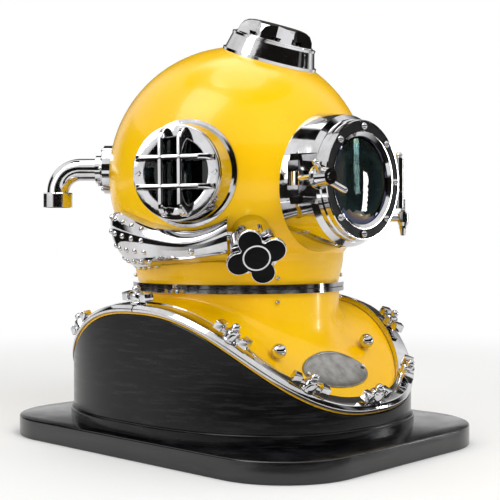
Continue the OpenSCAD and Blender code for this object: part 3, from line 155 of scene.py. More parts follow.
# plated brass, buffed: nearly a mirror, with fine wiping marks and dull spots
def chromePlate():
    made, tree, shader = newMaterial("chrome plate")
    spot = objectSpot(tree)
    spots = addNode(tree, "ShaderNodeTexNoise", {"Scale": 30, "Detail": 5, "Roughness": 0.6},
                    {"Vector": spot})
    tone = addNode(tree, "ShaderNodeMapRange", {"From Min": 0.4, "From Max": 0.75},
                   {"Value": spots.outputs["Fac"]})
    colour = addNode(tree, "ShaderNodeMix",
                     {6: hexColour(finishes["chrome"]), 7: hexColour(finishes["chromeDull"])},
                     {0: tone.outputs["Result"]}, data_type="RGBA")
    wiped = addNode(tree, "ShaderNodeTexNoise", {"Scale": 85, "Detail": 4, "Roughness": 0.5},
                    {"Vector": spot})
    gloss = addNode(tree, "ShaderNodeMapRange",
                    {"From Min": 0.35, "From Max": 0.75, "To Min": 0.04, "To Max": 0.13},
                    {"Value": wiped.outputs["Fac"]})
    waves = addNode(tree, "ShaderNodeTexNoise", {"Scale": 110, "Detail": 2, "Roughness": 0.5},
                    {"Vector": spot})
    bump = addNode(tree, "ShaderNodeBump", {"Strength": 0.07, "Distance": 0.0007},
                   {"Height": waves.outputs["Fac"]})
    tree.links.new(colour.outputs[2], shader.inputs["Base Color"])
    tree.links.new(gloss.outputs["Result"], shader.inputs["Roughness"])
    tree.links.new(bump.outputs["Normal"], shader.inputs["Normal"])
    shader.inputs["Metallic"].default_value = 1.0
    return made


# black lacquer over wood: long level grain just telegraphing through
def blackLacquer():
    made, tree, shader = newMaterial("black lacquer")
    spot = objectSpot(tree, scale=(0.1, 0.1, 1))
    grain = addNode(tree, "ShaderNodeTexNoise", {"Scale": 260, "Detail": 4, "Roughness": 0.6},
                    {"Vector": spot})
    streaks = addNode(tree, "ShaderNodeMapRange", {"From Min": 0.48, "From Max": 0.72},
                      {"Value": grain.outputs["Fac"]})
    colour = addNode(tree, "ShaderNodeMix",
                     {6: hexColour(finishes["lacquer"]), 7: hexColour(finishes["lacquerGrain"])},
                     {0: streaks.outputs["Result"]}, data_type="RGBA")
    gloss = addNode(tree, "ShaderNodeMapRange",
                    {"From Min": 0.3, "From Max": 0.7, "To Min": 0.14, "To Max": 0.24},
                    {"Value": grain.outputs["Fac"]})
    # the board has had more coats than the wall that stands on it
    boardTop = 0.022
    blur = 0.0005
    height = addNode(tree, "ShaderNodeSeparateXYZ", links={0: objectSpot(tree)})
    coats = addNode(tree, "ShaderNodeMapRange",
                    {"From Min": boardTop - blur, "From Max": boardTop + blur, "To Min": 0.7, "To Max": 0.24},
                    {"Value": height.outputs["Z"]})
    bump = addNode(tree, "ShaderNodeBump", {"Strength": 0.12, "Distance": 0.0004},
                   {"Height": grain.outputs["Fac"]})
    tree.links.new(colour.outputs[2], shader.inputs["Base Color"])
    tree.links.new(gloss.outputs["Result"], shader.inputs["Roughness"])
    tree.links.new(coats.outputs["Result"], shader.inputs["Specular IOR Level"])
    tree.links.new(bump.outputs["Normal"], shader.inputs["Normal"])
    return made


# a plain finish: one grain gives it its two tones and its changes of gloss
def plainFinish(name, colour, darker, roughness, scale=60, metallic=0.0, bump=0.1, shine=0.5):
    made, tree, shader = newMaterial(name)
    spot = objectSpot(tree)
    grain = addNode(tree, "ShaderNodeTexNoise", {"Scale": scale, "Detail": 4, "Roughness": 0.55},
                    {"Vector": spot})
    tone = addNode(tree, "ShaderNodeMapRange", {"From Min": 0.35, "From Max": 0.7},
                   {"Value": grain.outputs["Fac"]})
    tones = addNode(tree, "ShaderNodeMix", {6: hexColour(colour), 7: hexColour(darker)},
                    {0: tone.outputs["Result"]}, data_type="RGBA")
    gloss = addNode(tree, "ShaderNodeMapRange",
                    {"From Min": 0.3, "From Max": 0.7, "To Min": roughness, "To Max": roughness + 0.12},
                    {"Value": grain.outputs["Fac"]})
    fine = addNode(tree, "ShaderNodeTexNoise", {"Scale": scale * 4, "Detail": 3, "Roughness": 0.5},
                   {"Vector": spot})
    bumps = addNode(tree, "ShaderNodeBump", {"Strength": bump, "Distance": 0.0005},
                    {"Height": fine.outputs["Fac"]})
    tree.links.new(tones.outputs[2], shader.inputs["Base Color"])
    tree.links.new(gloss.outputs["Result"], shader.inputs["Roughness"])
    tree.links.new(bumps.outputs["Normal"], shader.inputs["Normal"])
    shader.inputs["Metallic"].default_value = metallic
    if not metallic:
        shader.inputs["Specular IOR Level"].default_value = shine
    return made


# the front glass is bloomed near its rim: distances from its centre in metres, thickness in nanometres
bloom = {"clearTo": 0.024, "fullFrom": 0.044, "endsAt": 0.07, "goneAt": 0.075, "thickness": 187,
         "index": 1.75}


# thick plate glass: the dark inside of the helmet shows through
def plateGlass():
    made, tree, shader = newMaterial("plate glass")
    shader.inputs["Base Color"].default_value = hexColour(finishes["glass"])
    shader.inputs["Transmission Weight"].default_value = 1.0
    shader.inputs["IOR"].default_value = 1.5
    shader.inputs["Roughness"].default_value = 0.015
    # the bloom gives the reflections their green and blue
    shader.inputs["Thin Film IOR"].default_value = bloom["index"]
    flat = objectSpot(tree, scale=(1, 0, 1), move=(0, 0, -bonnet["window"] / 1000))
    reach = addNode(tree, "ShaderNodeVectorMath", links={0: flat}, operation="LENGTH")
    growing = addNode(tree, "ShaderNodeMapRange",
                      {"From Min": bloom["clearTo"], "From Max": bloom["fullFrom"], "To Min": 0,
                       "To Max": bloom["thickness"]}, {"Value": reach.outputs["Value"]})
    frontOnly = addNode(tree, "ShaderNodeMapRange",
                        {"From Min": bloom["endsAt"], "From Max": bloom["goneAt"], "To Min": 1, "To Max": 0},
                        {"Value": reach.outputs["Value"]})
    film = addNode(tree, "ShaderNodeMath",
                   links={0: growing.outputs["Result"], 1: frontOnly.outputs["Result"]}, operation="MULTIPLY")
    tree.links.new(film.outputs[0], shader.inputs["Thin Film Thickness"])
    return made


materials = {
    "yellow_enamel": yellowEnamel(),
    "chrome": chromePlate(),
    "black_lacquer": blackLacquer(),
    "black_enamel": plainFinish("black enamel", finishes["blackEnamel"], "#0b0c0f", 0.3, 90,
                                bump=0.03, shine=0.12),
    "dull_nickel": plainFinish("dull nickel", finishes["nickel"], finishes["nickelDark"], 0.28, 70, 1.0),
    "steel": plainFinish("plain steel", finishes["steel"], "#6f7174", 0.3, 70, 1.0),
    "brass": plainFinish("turned brass", finishes["brass"], "#8d6b2f", 0.25, 60, 1.0),
    "black_rubber": plainFinish("black rubber", finishes["blackRubber"], "#171717", 0.6, 90),
    "tan_rubber": plainFinish("tan rubber", finishes["tanRubber"], "#8f6b3c", 0.65, 90),
    "brown_leather": plainFinish("brown leather", finishes["leather"], "#271911", 0.55, 150, bump=0.3),
    "black_plastic": plainFinish("black plastic", "#111112", "#1a1a1b", 0.4, 80),
    "clear_glass": plateGlass(),
}
print("finishes made:", len(materials))

for part in record["subparts"]:
    target = nodes[part["node"]]
    target.data.materials.clear()
    target.data.materials.append(materials[part["material_slot"]])


# meshes are built in millimetres and scaled once
def finishPiece(name, mesh, slot, stands, sharp=32, body=None):
    work = bmesh.new()
    work.from_mesh(mesh)
    bmesh.ops.remove_doubles(work, verts=work.verts, dist=0.002)
    bmesh.ops.recalc_face_normals(work, faces=work.faces)
    bmesh.ops.scale(work, vec=(0.001, 0.001, 0.001), verts=work.verts)
    work.to_mesh(mesh)
    work.free()
    for face in mesh.polygons:
        face.use_smooth = True
    mesh.set_sharp_from_angle(angle=math.radians(sharp))
    mesh.materials.clear()
    mesh.materials.append(materials[slot])
    piece = bpy.data.objects.new(name, mesh)
    scene.collection.objects.link(piece)
    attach(piece, body or nodeBody[stands[0]])
    if stands:
        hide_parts(*stands)
    return piece


def makePiece(name, points, faces, slot, stands, sharp=32, body=None):
    mesh = bpy.data.meshes.new(name)
    mesh.from_pydata([tuple(p) for p in points], [], faces)
    return finishPiece(name, mesh, slot, stands, sharp, body)


def loft(rings, closed=True):
    count = len(rings)
    size = len(rings[0])
    faces = []
    for i in range(count if closed else count - 1):
        after = (i + 1) % count
        for j in range(size):
            k = (j + 1) % size
            faces.append((i * size + j, i * size + k, after * size + k, after * size + j))
    if not closed:
        faces.append(tuple(range(size)))
        faces.append(tuple(range((count - 1) * size, count * size)))
    return [point for ring in rings for point in ring], faces


# a closed outline of (x, y, radius) with its corners rounded off
def roundCorners(corners, steps=3):
    made = []
    for i, (x, y, radius) in enumerate(corners):
        here = Vector((x, y))
        if not radius:
            made.append((x, y))
            continue
        first = here + (Vector(corners[i - 1][:2]) - here).normalized() * radius
        last = here + (Vector(corners[(i + 1) % len(corners)][:2]) - here).normalized() * radius
        for s in range(steps + 1):
            t = s / steps
            made.append(tuple((1 - t) ** 2 * first + 2 * t * (1 - t) * here + t * t * last))
    return made


# the saddle-shaped rim that the stand, the breastplate and the straps all follow
rim = {"halfWidth": 163, "halfDepth": 199, "power": 2.5, "front": 25, "side": 127, "back": 20, "sag": 8,
       "slopeEnd": 30, "slopeSide": 12, "board": 22, "steps": 288}
layers = {"gap": 0.3, "plate": 1.8, "gasket": 1.0, "strap": 6.5, "strapWidth": 20, "studInset": 11}
plateTop = layers["gap"] + layers["plate"]
gasketTop = plateTop + layers["gasket"]
strapTop = gasketTop + layers["strap"]


def rimShare(phi):
    half = rim["power"] / 2
    return math.atan2((abs(math.sin(phi)) / rim["halfWidth"]) ** half,
                      (abs(math.cos(phi)) / rim["halfDepth"]) ** half)


def rimPoint(phi):
    power = rim["power"]
    across = (abs(math.sin(phi)) / rim["halfWidth"]) ** power
    reach = (across + (abs(math.cos(phi)) / rim["halfDepth"]) ** power) ** (-1 / power)
    end = rim["front"] if math.cos(phi) >= 0 else rim["back"]
    share = rimShare(phi)
    height = (end + rim["side"]) / 2 + (end - rim["side"]) / 2 * math.cos(2 * share)
    height -= rim["sag"] * (1 - math.cos(4 * share)) / 2
    return Vector((-reach * math.sin(phi), -reach * math.cos(phi), rim["board"] + height))


# axes along, across and out of the sloping flange
@lru_cache(maxsize=None)
def flangeAxes(phi):
    step = math.radians(1)
    along = (rimPoint(phi - step) - rimPoint(phi + step)).normalized()
    slope = rim["slopeSide"] + (rim["slopeEnd"] - rim["slopeSide"]) * math.cos(rimShare(phi)) ** 2
    slope = math.radians(slope)
    inward = Vector((0, 0, 1)).cross(Vector((along.x, along.y, 0))).normalized()
    lean = inward * math.cos(slope) + Vector((0, 0, math.sin(slope)))
    across = (lean - along * lean.dot(along)).normalized()
    return {"point": rimPoint(phi), "along": along, "inward": across, "outward": along.cross(across),
            "slope": slope}


def onFlange(phi, across, out):
    axes = flangeAxes(phi)
    return axes["point"] + across * axes["inward"] + out * axes["outward"]


def rimAngles(start=0.0, end=2 * math.pi, count=None):
    count = count or rim["steps"]
    return [start + (end - start) * i / count for i in range(count + 1)]


def studAngle(i):
    turn = 2 * math.pi * i / rimStud["count"]
    bend = 2 / rim["power"]
    return math.atan2(math.copysign(rim["halfWidth"] * abs(math.sin(turn)) ** bend, math.sin(turn)),
                      math.copysign(rim["halfDepth"] * abs(math.cos(turn)) ** bend, math.cos(turn)))


# the stand: a board, a bent wall and the moulding round its foot
stand = {"halfWidth": 181.5, "halfDepth": 237.5, "corner": 88, "cornerSteps": 24, "edge": 1.6, "foot": 0.6,
         "wall": 18, "chamfer": 0.8, "bandHeight": 13, "bandOut": 3, "bandRound": 2.6, "bandSeat": 0.05}


def plinthBoard():
    flat = []
    steps = stand["cornerSteps"]
    for cornerX, cornerY, start in ((1, 1, 0), (-1, 1, 90), (-1, -1, 180), (1, -1, 270)):
        for s in range(steps + 1):
            a = math.radians(start + 90 * s / steps)
            flat.append((cornerX * (stand["halfWidth"] - stand["corner"]) + stand["corner"] * math.cos(a),
                         cornerY * (stand["halfDepth"] - stand["corner"]) + stand["corner"] * math.sin(a)))
    edge = stand["edge"]
    profile = [(stand["foot"], 0), (0, stand["foot"])]
    profile += [(edge * (1 - math.cos(a)), rim["board"] - edge + edge * math.sin(a))
                for a in (0, math.pi / 6, math.pi / 3, math.pi / 2)]
    rings = []
    for inset, height in profile:
        ring = []
        for i, (x, y) in enumerate(flat):
            a = math.radians((i // (steps + 1)) * 90 + 90 * (i % (steps + 1)) / steps)
            ring.append((x - inset * math.cos(a), y - inset * math.sin(a), height))
        rings.append(ring)
    points, faces = loft(rings, False)
    makePiece("plinthBoard", points, faces, "black_lacquer", ["plinth_board"], 40)


def pedestalWall():
    rings = []
    chamfer = stand["chamfer"]
    for phi in rimAngles()[:-1]:
        outer = onFlange(phi, 0.0, 0)
        inner = onFlange(phi, stand["wall"], 0)
        ring = [(outer.x, outer.y, rim["board"]), outer - Vector((0, 0, chamfer))]
        ring += [onFlange(phi, chamfer, 0), onFlange(phi, stand["wall"] - chamfer, 0)]
        ring += [inner - Vector((0, 0, chamfer)), (inner.x, inner.y, rim["board"])]
        rings.append(ring)
    points, faces = loft(rings)
    makePiece("pedestalWall", points, faces, "black_lacquer", ["stand_pedestal"], 20)


def footBand():
    corners = [(0, 0, 0), (0, stand["bandHeight"], 0),
               (stand["bandOut"], stand["bandHeight"], stand["bandRound"]), (stand["bandOut"], 0, 0)]
    profile = roundCorners(corners, 6)
    rings = []
    for phi in rimAngles()[:-1]:
        axes = flangeAxes(phi)
        point = axes["point"]
        side = Vector((-axes["along"].y, axes["along"].x, 0)).normalized()
        ring = []
        for out, height in profile:
            reach = out + stand["bandSeat"]
            ring.append((point.x - side.x * reach, point.y - side.y * reach, rim["board"] + height))
        rings.append(ring)
    points, faces = loft(rings)
    makePiece("footBand", points, faces, "black_lacquer", ["pedestal_foot_band"], 40)


plinthBoard()
pedestalWall()
footBand()
print("stand made")

# the breastplate, from its neck down to the flange under the straps; its rim is cut back a little
neck = {"radius": 117, "top": 170.6, "steps": 22, "bendShare": 0.6, "rimInset": 1.2, "rimCut": 0.3,
        "rimRound": 0.4}


# the three points that bend the plate from the upright neck into the flange
def neckBend(phi, radius, out):
    foot = onFlange(phi, layers["strapWidth"], out)
    heading = math.atan2(-foot.x, -foot.y)
    reach = math.hypot(foot.x, foot.y) - radius
    cornerHeight = foot.z + reach * math.tan(flangeAxes(phi)["slope"])
    bendHeight = cornerHeight + neck["bendShare"] * (neck["top"] - cornerHeight)
    corner = Vector((-radius * math.sin(heading), -radius * math.cos(heading), cornerHeight))
    return Vector((corner.x, corner.y, bendHeight)), corner, foot


def alongBend(points, t):
    bend, corner, foot = points
    return (1 - t) ** 2 * bend + 2 * t * (1 - t) * corner + t * t * foot


def neckSkin(phi, radius, out):
    points = neckBend(phi, radius, out)
    top = Vector((points[1].x, points[1].y, neck["top"]))
    return [top] + [alongBend(points, i / neck["steps"]) for i in range(neck["steps"] + 1)]


def breastplate():
    rings = []
    inset = neck["rimInset"]
    cut = inset + neck["rimCut"]
    for phi in rimAngles()[:-1]:
        outer = neckSkin(phi, neck["radius"], plateTop)
        inner = neckSkin(phi, neck["radius"] - layers["plate"], layers["gap"])
        edge = [onFlange(phi, cut, plateTop), onFlange(phi, inset, plateTop - neck["rimRound"]),
                onFlange(phi, inset, layers["gap"] + neck["rimRound"]), onFlange(phi, cut, layers["gap"])]
        rings.append(outer + edge + list(reversed(inner)))
    points, faces = loft(rings)
    return makePiece("breastplate", points, faces, "yellow_enamel", ["breastplate_shell"], 40)


# the rubber collar's moulded edge has fine ribs all round
def rimGasket(ribs=300, depth=0.35):
    rings = []
    width = layers["strapWidth"]
    for i, phi in enumerate(rimAngles(count=2 * ribs)[:-1]):
        out = depth * (i % 2)
        rings.append([onFlange(phi, width, plateTop), onFlange(phi, width, gasketTop),
                      onFlange(phi, out, gasketTop), onFlange(phi, out, plateTop)])
    points, faces = loft(rings)
    makePiece("rimGasket", points, faces, "tan_rubber", ["rim_gasket"], 25)


# the straps: their outer edge is bevelled, and their ends stand a little apart
strapEdge = {"seat": 0.05, "bevel": 4, "bevelShare": 0.55, "round": 0.9, "footRound": 0.4, "endGap": 0.3}


def strap(name, start, node):
    low = gasketTop + strapEdge["seat"]
    bevelLow = strapTop - strapEdge["bevelShare"] * layers["strap"]
    top = strapEdge["round"]
    foot = strapEdge["footRound"]
    profile = roundCorners([(layers["strapWidth"], low, foot), (layers["strapWidth"], strapTop, top),
                            (strapEdge["bevel"], strapTop, top), (0, bevelLow, top), (0, low, foot)], 3)
    gap = math.radians(strapEdge["endGap"])
    rings = [[onFlange(phi, across, out) for across, out in profile]
             for phi in rimAngles(start + gap, start + math.pi / 2 - gap, rim["steps"] // 4)]
    points, faces = loft(rings, False)
    makePiece(name, points, faces, "chrome", [node], 28)


# the oval plate follows the breastplate's front; it is bare, with a raised border
oval = {"long": 51, "short": 25, "share": 0.64, "seat": 0.15, "points": 96,
        "profile": [(1.0, 0), (1.0, 0.9), (0.985, 1.35), (0.96, 1.5), (0.93, 1.45), (0.915, 1.1), (0.9, 1.0),
                    (0.6, 1.0), (0.3, 1.0)]}


def frontPoint(phi, share):
    return alongBend(neckBend(phi, neck["radius"], plateTop), share)


def ovalPlate(skin):
    share = oval["share"]
    middle = frontPoint(0, share)
    step = math.radians(2)
    across = frontPoint(step, share) - frontPoint(-step, share)
    out = across.cross(frontPoint(0, share + 0.05) - frontPoint(0, share - 0.05)).normalized()
    side = Vector((0, 1, 0)).cross(out).normalized()
    up = out.cross(side)
    surface = BVHTree.FromPolygons([v.co * 1000 for v in skin.data.vertices],
                                   [tuple(f.vertices) for f in skin.data.polygons])
    rings = []
    for size, height in oval["profile"]:
        ring = []
        for i in range(oval["points"]):
            a = 2 * math.pi * i / oval["points"]
            flat = middle + side * (oval["long"] - 1 + size) * size * math.cos(a)
            flat = flat + up * oval["short"] * size * math.sin(a)
            seat = surface.ray_cast(flat + out * 20, -out)[0]
            ring.append(seat + out * (oval["seat"] + height))
        rings.append(ring)
    points, faces = loft(rings, False)
    makePiece("ovalPlate", points, faces, "dull_nickel", ["name_plate"], 50)


skin = breastplate()
ovalPlate(skin)
rimGasket()
strap("frontRightStrap", 0, "front_right_brail")
strap("rearRightStrap", math.pi / 2, "rear_right_brail")
strap("rearLeftStrap", math.pi, "rear_left_brail")
strap("frontLeftStrap", 3 * math.pi / 2, "front_left_brail")
print("breastplate and straps made")


# pieces that repeat: one shape is set on marked points by a geometry node tree
def repeatTree(name):
    tree = bpy.data.node_groups.new(name, "GeometryNodeTree")
    tree.is_modifier = True
    face = tree.interface
    face.new_socket("Geometry", in_out="INPUT", socket_type="NodeSocketGeometry")
    face.new_socket("Piece", in_out="INPUT", socket_type="NodeSocketObject")
    face.new_socket("Size", in_out="INPUT", socket_type="NodeSocketFloat").default_value = 1.0
    face.new_socket("Loose turn", in_out="INPUT", socket_type="NodeSocketFloat")
    face.new_socket("Finish", in_out="INPUT", socket_type="NodeSocketMaterial")
    face.new_socket("Geometry", in_out="OUTPUT", socket_type="NodeSocketGeometry")
    given = addNode(tree, "NodeGroupInput").outputs
    shape = addNode(tree, "GeometryNodeObjectInfo", links={"Object": given["Piece"]})
    turn = addNode(tree, "GeometryNodeInputNamedAttribute", {"Name": "turn"}, data_type="FLOAT_VECTOR")
    placed = addNode(tree, "GeometryNodeInstanceOnPoints",
                     links={"Points": given["Geometry"], "Instance": shape.outputs["Geometry"],
                            "Rotation": turn.outputs["Attribute"], "Scale": given["Size"]})
    less = addNode(tree, "ShaderNodeMath", {1: -1.0}, {0: given["Loose turn"]}, operation="MULTIPLY")
    spin = addNode(tree, "FunctionNodeRandomValue", {"Seed": 7},
                   {"Min": less.outputs[0], "Max": given["Loose turn"]}, data_type="FLOAT")
    axis = addNode(tree, "ShaderNodeCombineXYZ", links={"Z": spin.outputs["Value"]})
    turned = addNode(tree, "GeometryNodeRotateInstances",
                     links={"Instances": placed.outputs["Instances"], "Rotation": axis.outputs["Vector"]})
    real = addNode(tree, "GeometryNodeRealizeInstances", links={"Geometry": turned.outputs["Instances"]})
    painted = addNode(tree, "GeometryNodeSetMaterial",
                      links={"Geometry": real.outputs["Geometry"], "Material": given["Finish"]})
    addNode(tree, "NodeGroupOutput", links={"Geometry": painted.outputs["Geometry"]})
    return tree


repeatOnPoints = repeatTree("repeat on points")


def spreadPiece(name, shape, places, slot, stands, size=1.0, looseTurn=0.0, sharp=30):
    points = bpy.data.meshes.new(name)
    points.from_pydata([tuple(place.translation) for place in places], [], [])
    turns = points.attributes.new("turn", "FLOAT_VECTOR", "POINT")
    for item, place in zip(turns.data, places):
        item.vector = place.to_euler("XYZ")
    holder = bpy.data.objects.new(name + "Points", points)
    scene.collection.objects.link(holder)
    source = bpy.data.objects.new(name + "Shape", shape)
    scene.collection.objects.link(source)
    modifier = holder.modifiers.new("repeat", "NODES")
    modifier.node_group = repeatOnPoints
    sockets = {item.name: item.identifier for item in repeatOnPoints.interface.items_tree
               if item.in_out == "INPUT"}
    modifier[sockets["Piece"]] = source
    modifier[sockets["Size"]] = size
    modifier[sockets["Loose turn"]] = looseTurn
    modifier[sockets["Finish"]] = materials[slot]
    graph = bpy.context.evaluated_depsgraph_get()
    mesh = bpy.data.meshes.new_from_object(holder.evaluated_get(graph))
    mesh.name = name
    bpy.data.objects.remove(holder)
    bpy.data.objects.remove(source)
    return finishPiece(name, mesh, slot, stands, sharp)


# shapes in a local frame whose +Z points out of the seat
def latheShape(work, profile, segments=32, turn=Matrix()):
    rings = []
    for radius, height in profile:
        if radius < 1e-6:
            rings.append([work.verts.new(turn @ Vector((0, 0, height)))])
        else:
            angles = [2 * math.pi * i / segments for i in range(segments)]
            rings.append([work.verts.new(turn @ Vector((radius * math.cos(a), radius * math.sin(a), height)))
                          for a in angles])
    for low, high in zip(rings, rings[1:]):
        for i in range(segments):
            k = (i + 1) % segments
            corners = [low[i % len(low)], low[k % len(low)], high[k % len(high)], high[i % len(high)]]
            work.faces.new(list(dict.fromkeys(corners)))
    for ring in (rings[0], rings[-1]):
        if len(ring) > 1:
            work.faces.new(ring)


def blockShape(work, centre, size, bevel, taper=0.0):
    made = bmesh.ops.create_cube(work, size=1.0)["verts"]
    for v in made:
        shrink = 1 - taper * (v.co.z + 0.5)
        v.co = Vector((centre[0] + v.co.x * size[0] * shrink, centre[1] + v.co.y * size[1] * shrink,
                       centre[2] + v.co.z * size[2]))
    edges = list({edge for v in made for edge in v.link_edges})
    bmesh.ops.bevel(work, geom=edges, offset=bevel, segments=2, profile=0.6, affect="EDGES")


def shapeMesh(name, work):
    mesh = bpy.data.meshes.new(name)
    bmesh.ops.recalc_face_normals(work, faces=work.faces)
    work.to_mesh(mesh)
    work.free()
    return mesh


def arcPoints(centre, radius, start, end, steps):
    return [(centre[0] + radius * math.cos(math.radians(start + (end - start) * s / steps)),
             centre[1] + radius * math.sin(math.radians(start + (end - start) * s / steps)))
            for s in range(steps + 1)]


def flangePlace(phi, across, out):
    axes = flangeAxes(phi)
    place = Matrix((axes["along"], axes["inward"], axes["outward"])).transposed().to_4x4()
    place.translation = onFlange(phi, across, out)
    return place


wingNut = {"height": 12, "span": 42, "hub": 8.6, "earLength": 9.5, "earWidth": 12, "earRound": 1.1,
           "earTaper": 0.08, "lift": 3, "bore": 4.05, "armPlace": 10, "armLength": 8, "armShare": 0.6,
           "armHeight": 4.8, "armRound": 0.8, "looseTurn": 0.12, "seat": 0.3}
rimStud = {"radius": 4, "neck": 3.1, "ball": 4.6, "count": 12}


def wingNutShape():
    work = bmesh.new()
    hub = wingNut["hub"]
    top = wingNut["height"]
    latheShape(work, [(wingNut["bore"], 0), (hub - 0.4, 0), (hub, 0.4), (hub, 2.2), (hub - 0.7, 3.0),
                      (hub - 0.9, top - 3.2), (hub - 1.6, top - 1.4), (hub - 3, top - 0.4),
                      (wingNut["bore"], top)], 40)
    for side in (-1, 1):
        middle = side * (wingNut["span"] - wingNut["earLength"]) / 2
        blockShape(work, (middle, 0, (wingNut["lift"] + top) / 2),
                   (wingNut["earLength"], wingNut["earWidth"], top - wingNut["lift"]),
                   wingNut["earRound"], wingNut["earTaper"])
        blockShape(work, (side * wingNut["armPlace"], 0, wingNut["lift"] + wingNut["armHeight"] / 2),
                   (wingNut["armLength"], wingNut["earWidth"] * wingNut["armShare"], wingNut["armHeight"]),
                   wingNut["armRound"])
    return shapeMesh("wingNut", work)


def studShape():
    work = bmesh.new()
    ball = rimStud["ball"]
    low = strapTop + wingNut["height"] - layers["gap"]
    neckRadius = rimStud["neck"]
    foot = math.sqrt(ball ** 2 - neckRadius ** 2)
    sphere = arcPoints((0, low + foot), ball, -math.degrees(math.acos(neckRadius / ball)), 90, 14)
    sphere[-1] = (0, sphere[-1][1])
    shank = [(rimStud["radius"], 0), (rimStud["radius"], low - 1), (neckRadius, low)]
    latheShape(work, shank + sphere[1:], 32)
    return shapeMesh("rimStud", work)


spreadPiece("wingNuts", wingNutShape(),
            [flangePlace(studAngle(i), layers["studInset"], strapTop + wingNut["seat"])
             for i in range(rimStud["count"])],
            "chrome", ["wing_nuts"], looseTurn=wingNut["looseTurn"])
spreadPiece("rimStuds", studShape(),
            [flangePlace(studAngle(i), layers["studInset"], layers["gap"]) for i in range(rimStud["count"])],
            "chrome", ["rim_studs"])
print("nuts and studs made")


# frames on the bonnet: local +Z points straight out and +Y up
def outOfBonnet(angle, rise=0.0):
    return (Matrix.Translation((0, 0, bonnet["centre"])) @ Matrix.Rotation(math.radians(-angle), 4, "Z")
            @ Matrix.Rotation(math.radians(90 - rise), 4, "X"))


# the half-round channel that leads the exhaust air aft under the side port
channel = {"front": 51, "back": 117, "wall": 1.8, "steps": 88, "sides": 26, "topDip": 24.3, "lowDip": 36.5,
           "fall": 0.08, "waist": 3.8, "waistWidth": 12, "flare": 2.6, "round": 17, "rise": 20, "port": 68.8,
           "backGain": 4, "endPower": 2.4, "endWidth": 0.4, "thinnest": 0.4, "crown": 0.6, "seat": 0.1,
           "overrun": 0.02}
beads = {"columns": 5, "rows": 5, "first": 89, "step": 5.4, "radius": 3.4, "sunk": 1.2}
channelScrew = {"angle": 66, "dip": 30, "shank": 1.7, "depth": 8,
                "head": [(3.6, 0.2), (3.6, 1.4), (2.9, 2.3), (1.6, 2.7), (0, 2.8)]}
skirt = {"foot": 116, "low": 120.65}


def skirtReach(dip):
    guess = bonnet["radius"]
    head = math.sqrt(bonnet["radius"] ** 2 - bonnet["skirt"] ** 2)
    for _ in range(5):
        t = max(0, (guess * math.sin(dip) - bonnet["skirt"]) / (skirt["low"] - bonnet["skirt"]))
        guess = (head + (skirt["foot"] - head) * t ** 1.5) / math.cos(dip)
    return guess


def channelSection(angle, inset):
    t = (angle - channel["front"]) / (channel["back"] - channel["front"])
    left = (channel["back"] + channel["overrun"] - angle) / channel["round"]
    power = channel["endPower"]
    close = 1 if left >= 1 else (1 - (1 - left) ** power) ** (1 / power)
    mouth = channel["flare"] * (max(0, channel["port"] - angle) / (channel["port"] - channel["front"])) ** 2
    top = channel["topDip"] - mouth - channel["waist"] * (
        math.sqrt(1 + ((angle - channel["port"]) / channel["waistWidth"]) ** 2) - 1)
    low = channel["lowDip"] + mouth / 2 + channel["fall"] * (angle - channel["front"])
    width = channel["endWidth"] + (1 - channel["endWidth"]) * close
    half = (low - top) / 2 * width - math.degrees(inset / bonnet["radius"])
    rise = max((channel["rise"] + channel["backGain"] * t) * close - inset, channel["thinnest"])
    section = []
    for j in range(channel["sides"] + 1):
        u = math.pi * (j / channel["sides"] - 0.5)
        dip = math.radians((low + top) / 2 + half * math.sin(u))
        crown = rise * max(math.cos(u), 0) ** channel["crown"]
        reach = max(bonnet["radius"] + crown, skirtReach(dip)) + channel["seat"]
        a = math.radians(angle)
        section.append(Vector((-reach * math.sin(a) * math.cos(dip), -reach * math.cos(a) * math.cos(dip),
                               bonnet["centre"] - reach * math.sin(dip))))
    return section


def exhaustChannel():
    step = (channel["back"] - channel["front"]) / channel["steps"]
    rings = []
    for i in range(channel["steps"] + 1):
        angle = channel["front"] + i * step
        rings.append(channelSection(angle, 0) + list(reversed(channelSection(angle, channel["wall"]))))
    points, faces = loft(rings, False)
    makePiece("exhaustChannel", points, faces, "chrome", ["exhaust_channel"], 40)


# a frame whose +Z stands square to the channel's skin
def channelPlace(angle, j, sunk):
    here = channelSection(angle, 0)
    ahead = channelSection(angle + 0.5, 0)[j]
    out = (ahead - here[j]).cross(here[j + 1] - here[j - 1]).normalized()
    if out.dot(here[j] - Vector((0, 0, bonnet["centre"]))) < 0:
        out.negate()
    place = out.to_track_quat("Z", "Y").to_matrix().to_4x4()
    place.translation = here[j] - out * sunk
    return place


def channelBeads():
    work = bmesh.new()
    r = beads["radius"]
    latheShape(work, [(r, 0)] + arcPoints((0, 0), r, 12, 78, 5) + [(0, r)], 20)
    places = []
    for i in range(beads["columns"]):
        for row in range(beads["rows"]):
            j = round((2 + 2 * row) * channel["sides"] / 12)
            places.append(channelPlace(beads["first"] + i * beads["step"], j, beads["sunk"]))
    spreadPiece("channelBeads", shapeMesh("bead", work), places, "chrome", ["channel_beads"], sharp=60)
    seat = outOfBonnet(channelScrew["angle"], -channelScrew["dip"])
    height = bonnet["radius"] + channel["rise"]
    profile = [(channelScrew["shank"], height - channelScrew["depth"]), (channelScrew["shank"], height)]
    profile += [(radius, height + rise) for radius, rise in channelScrew["head"]]
    work = bmesh.new()
    latheShape(work, profile, 32, seat)
    finishPiece("channelScrew", shapeMesh("channelScrew", work), "chrome", [], 40, nodeBody["channel_beads"])


exhaustChannel()
channelBeads()

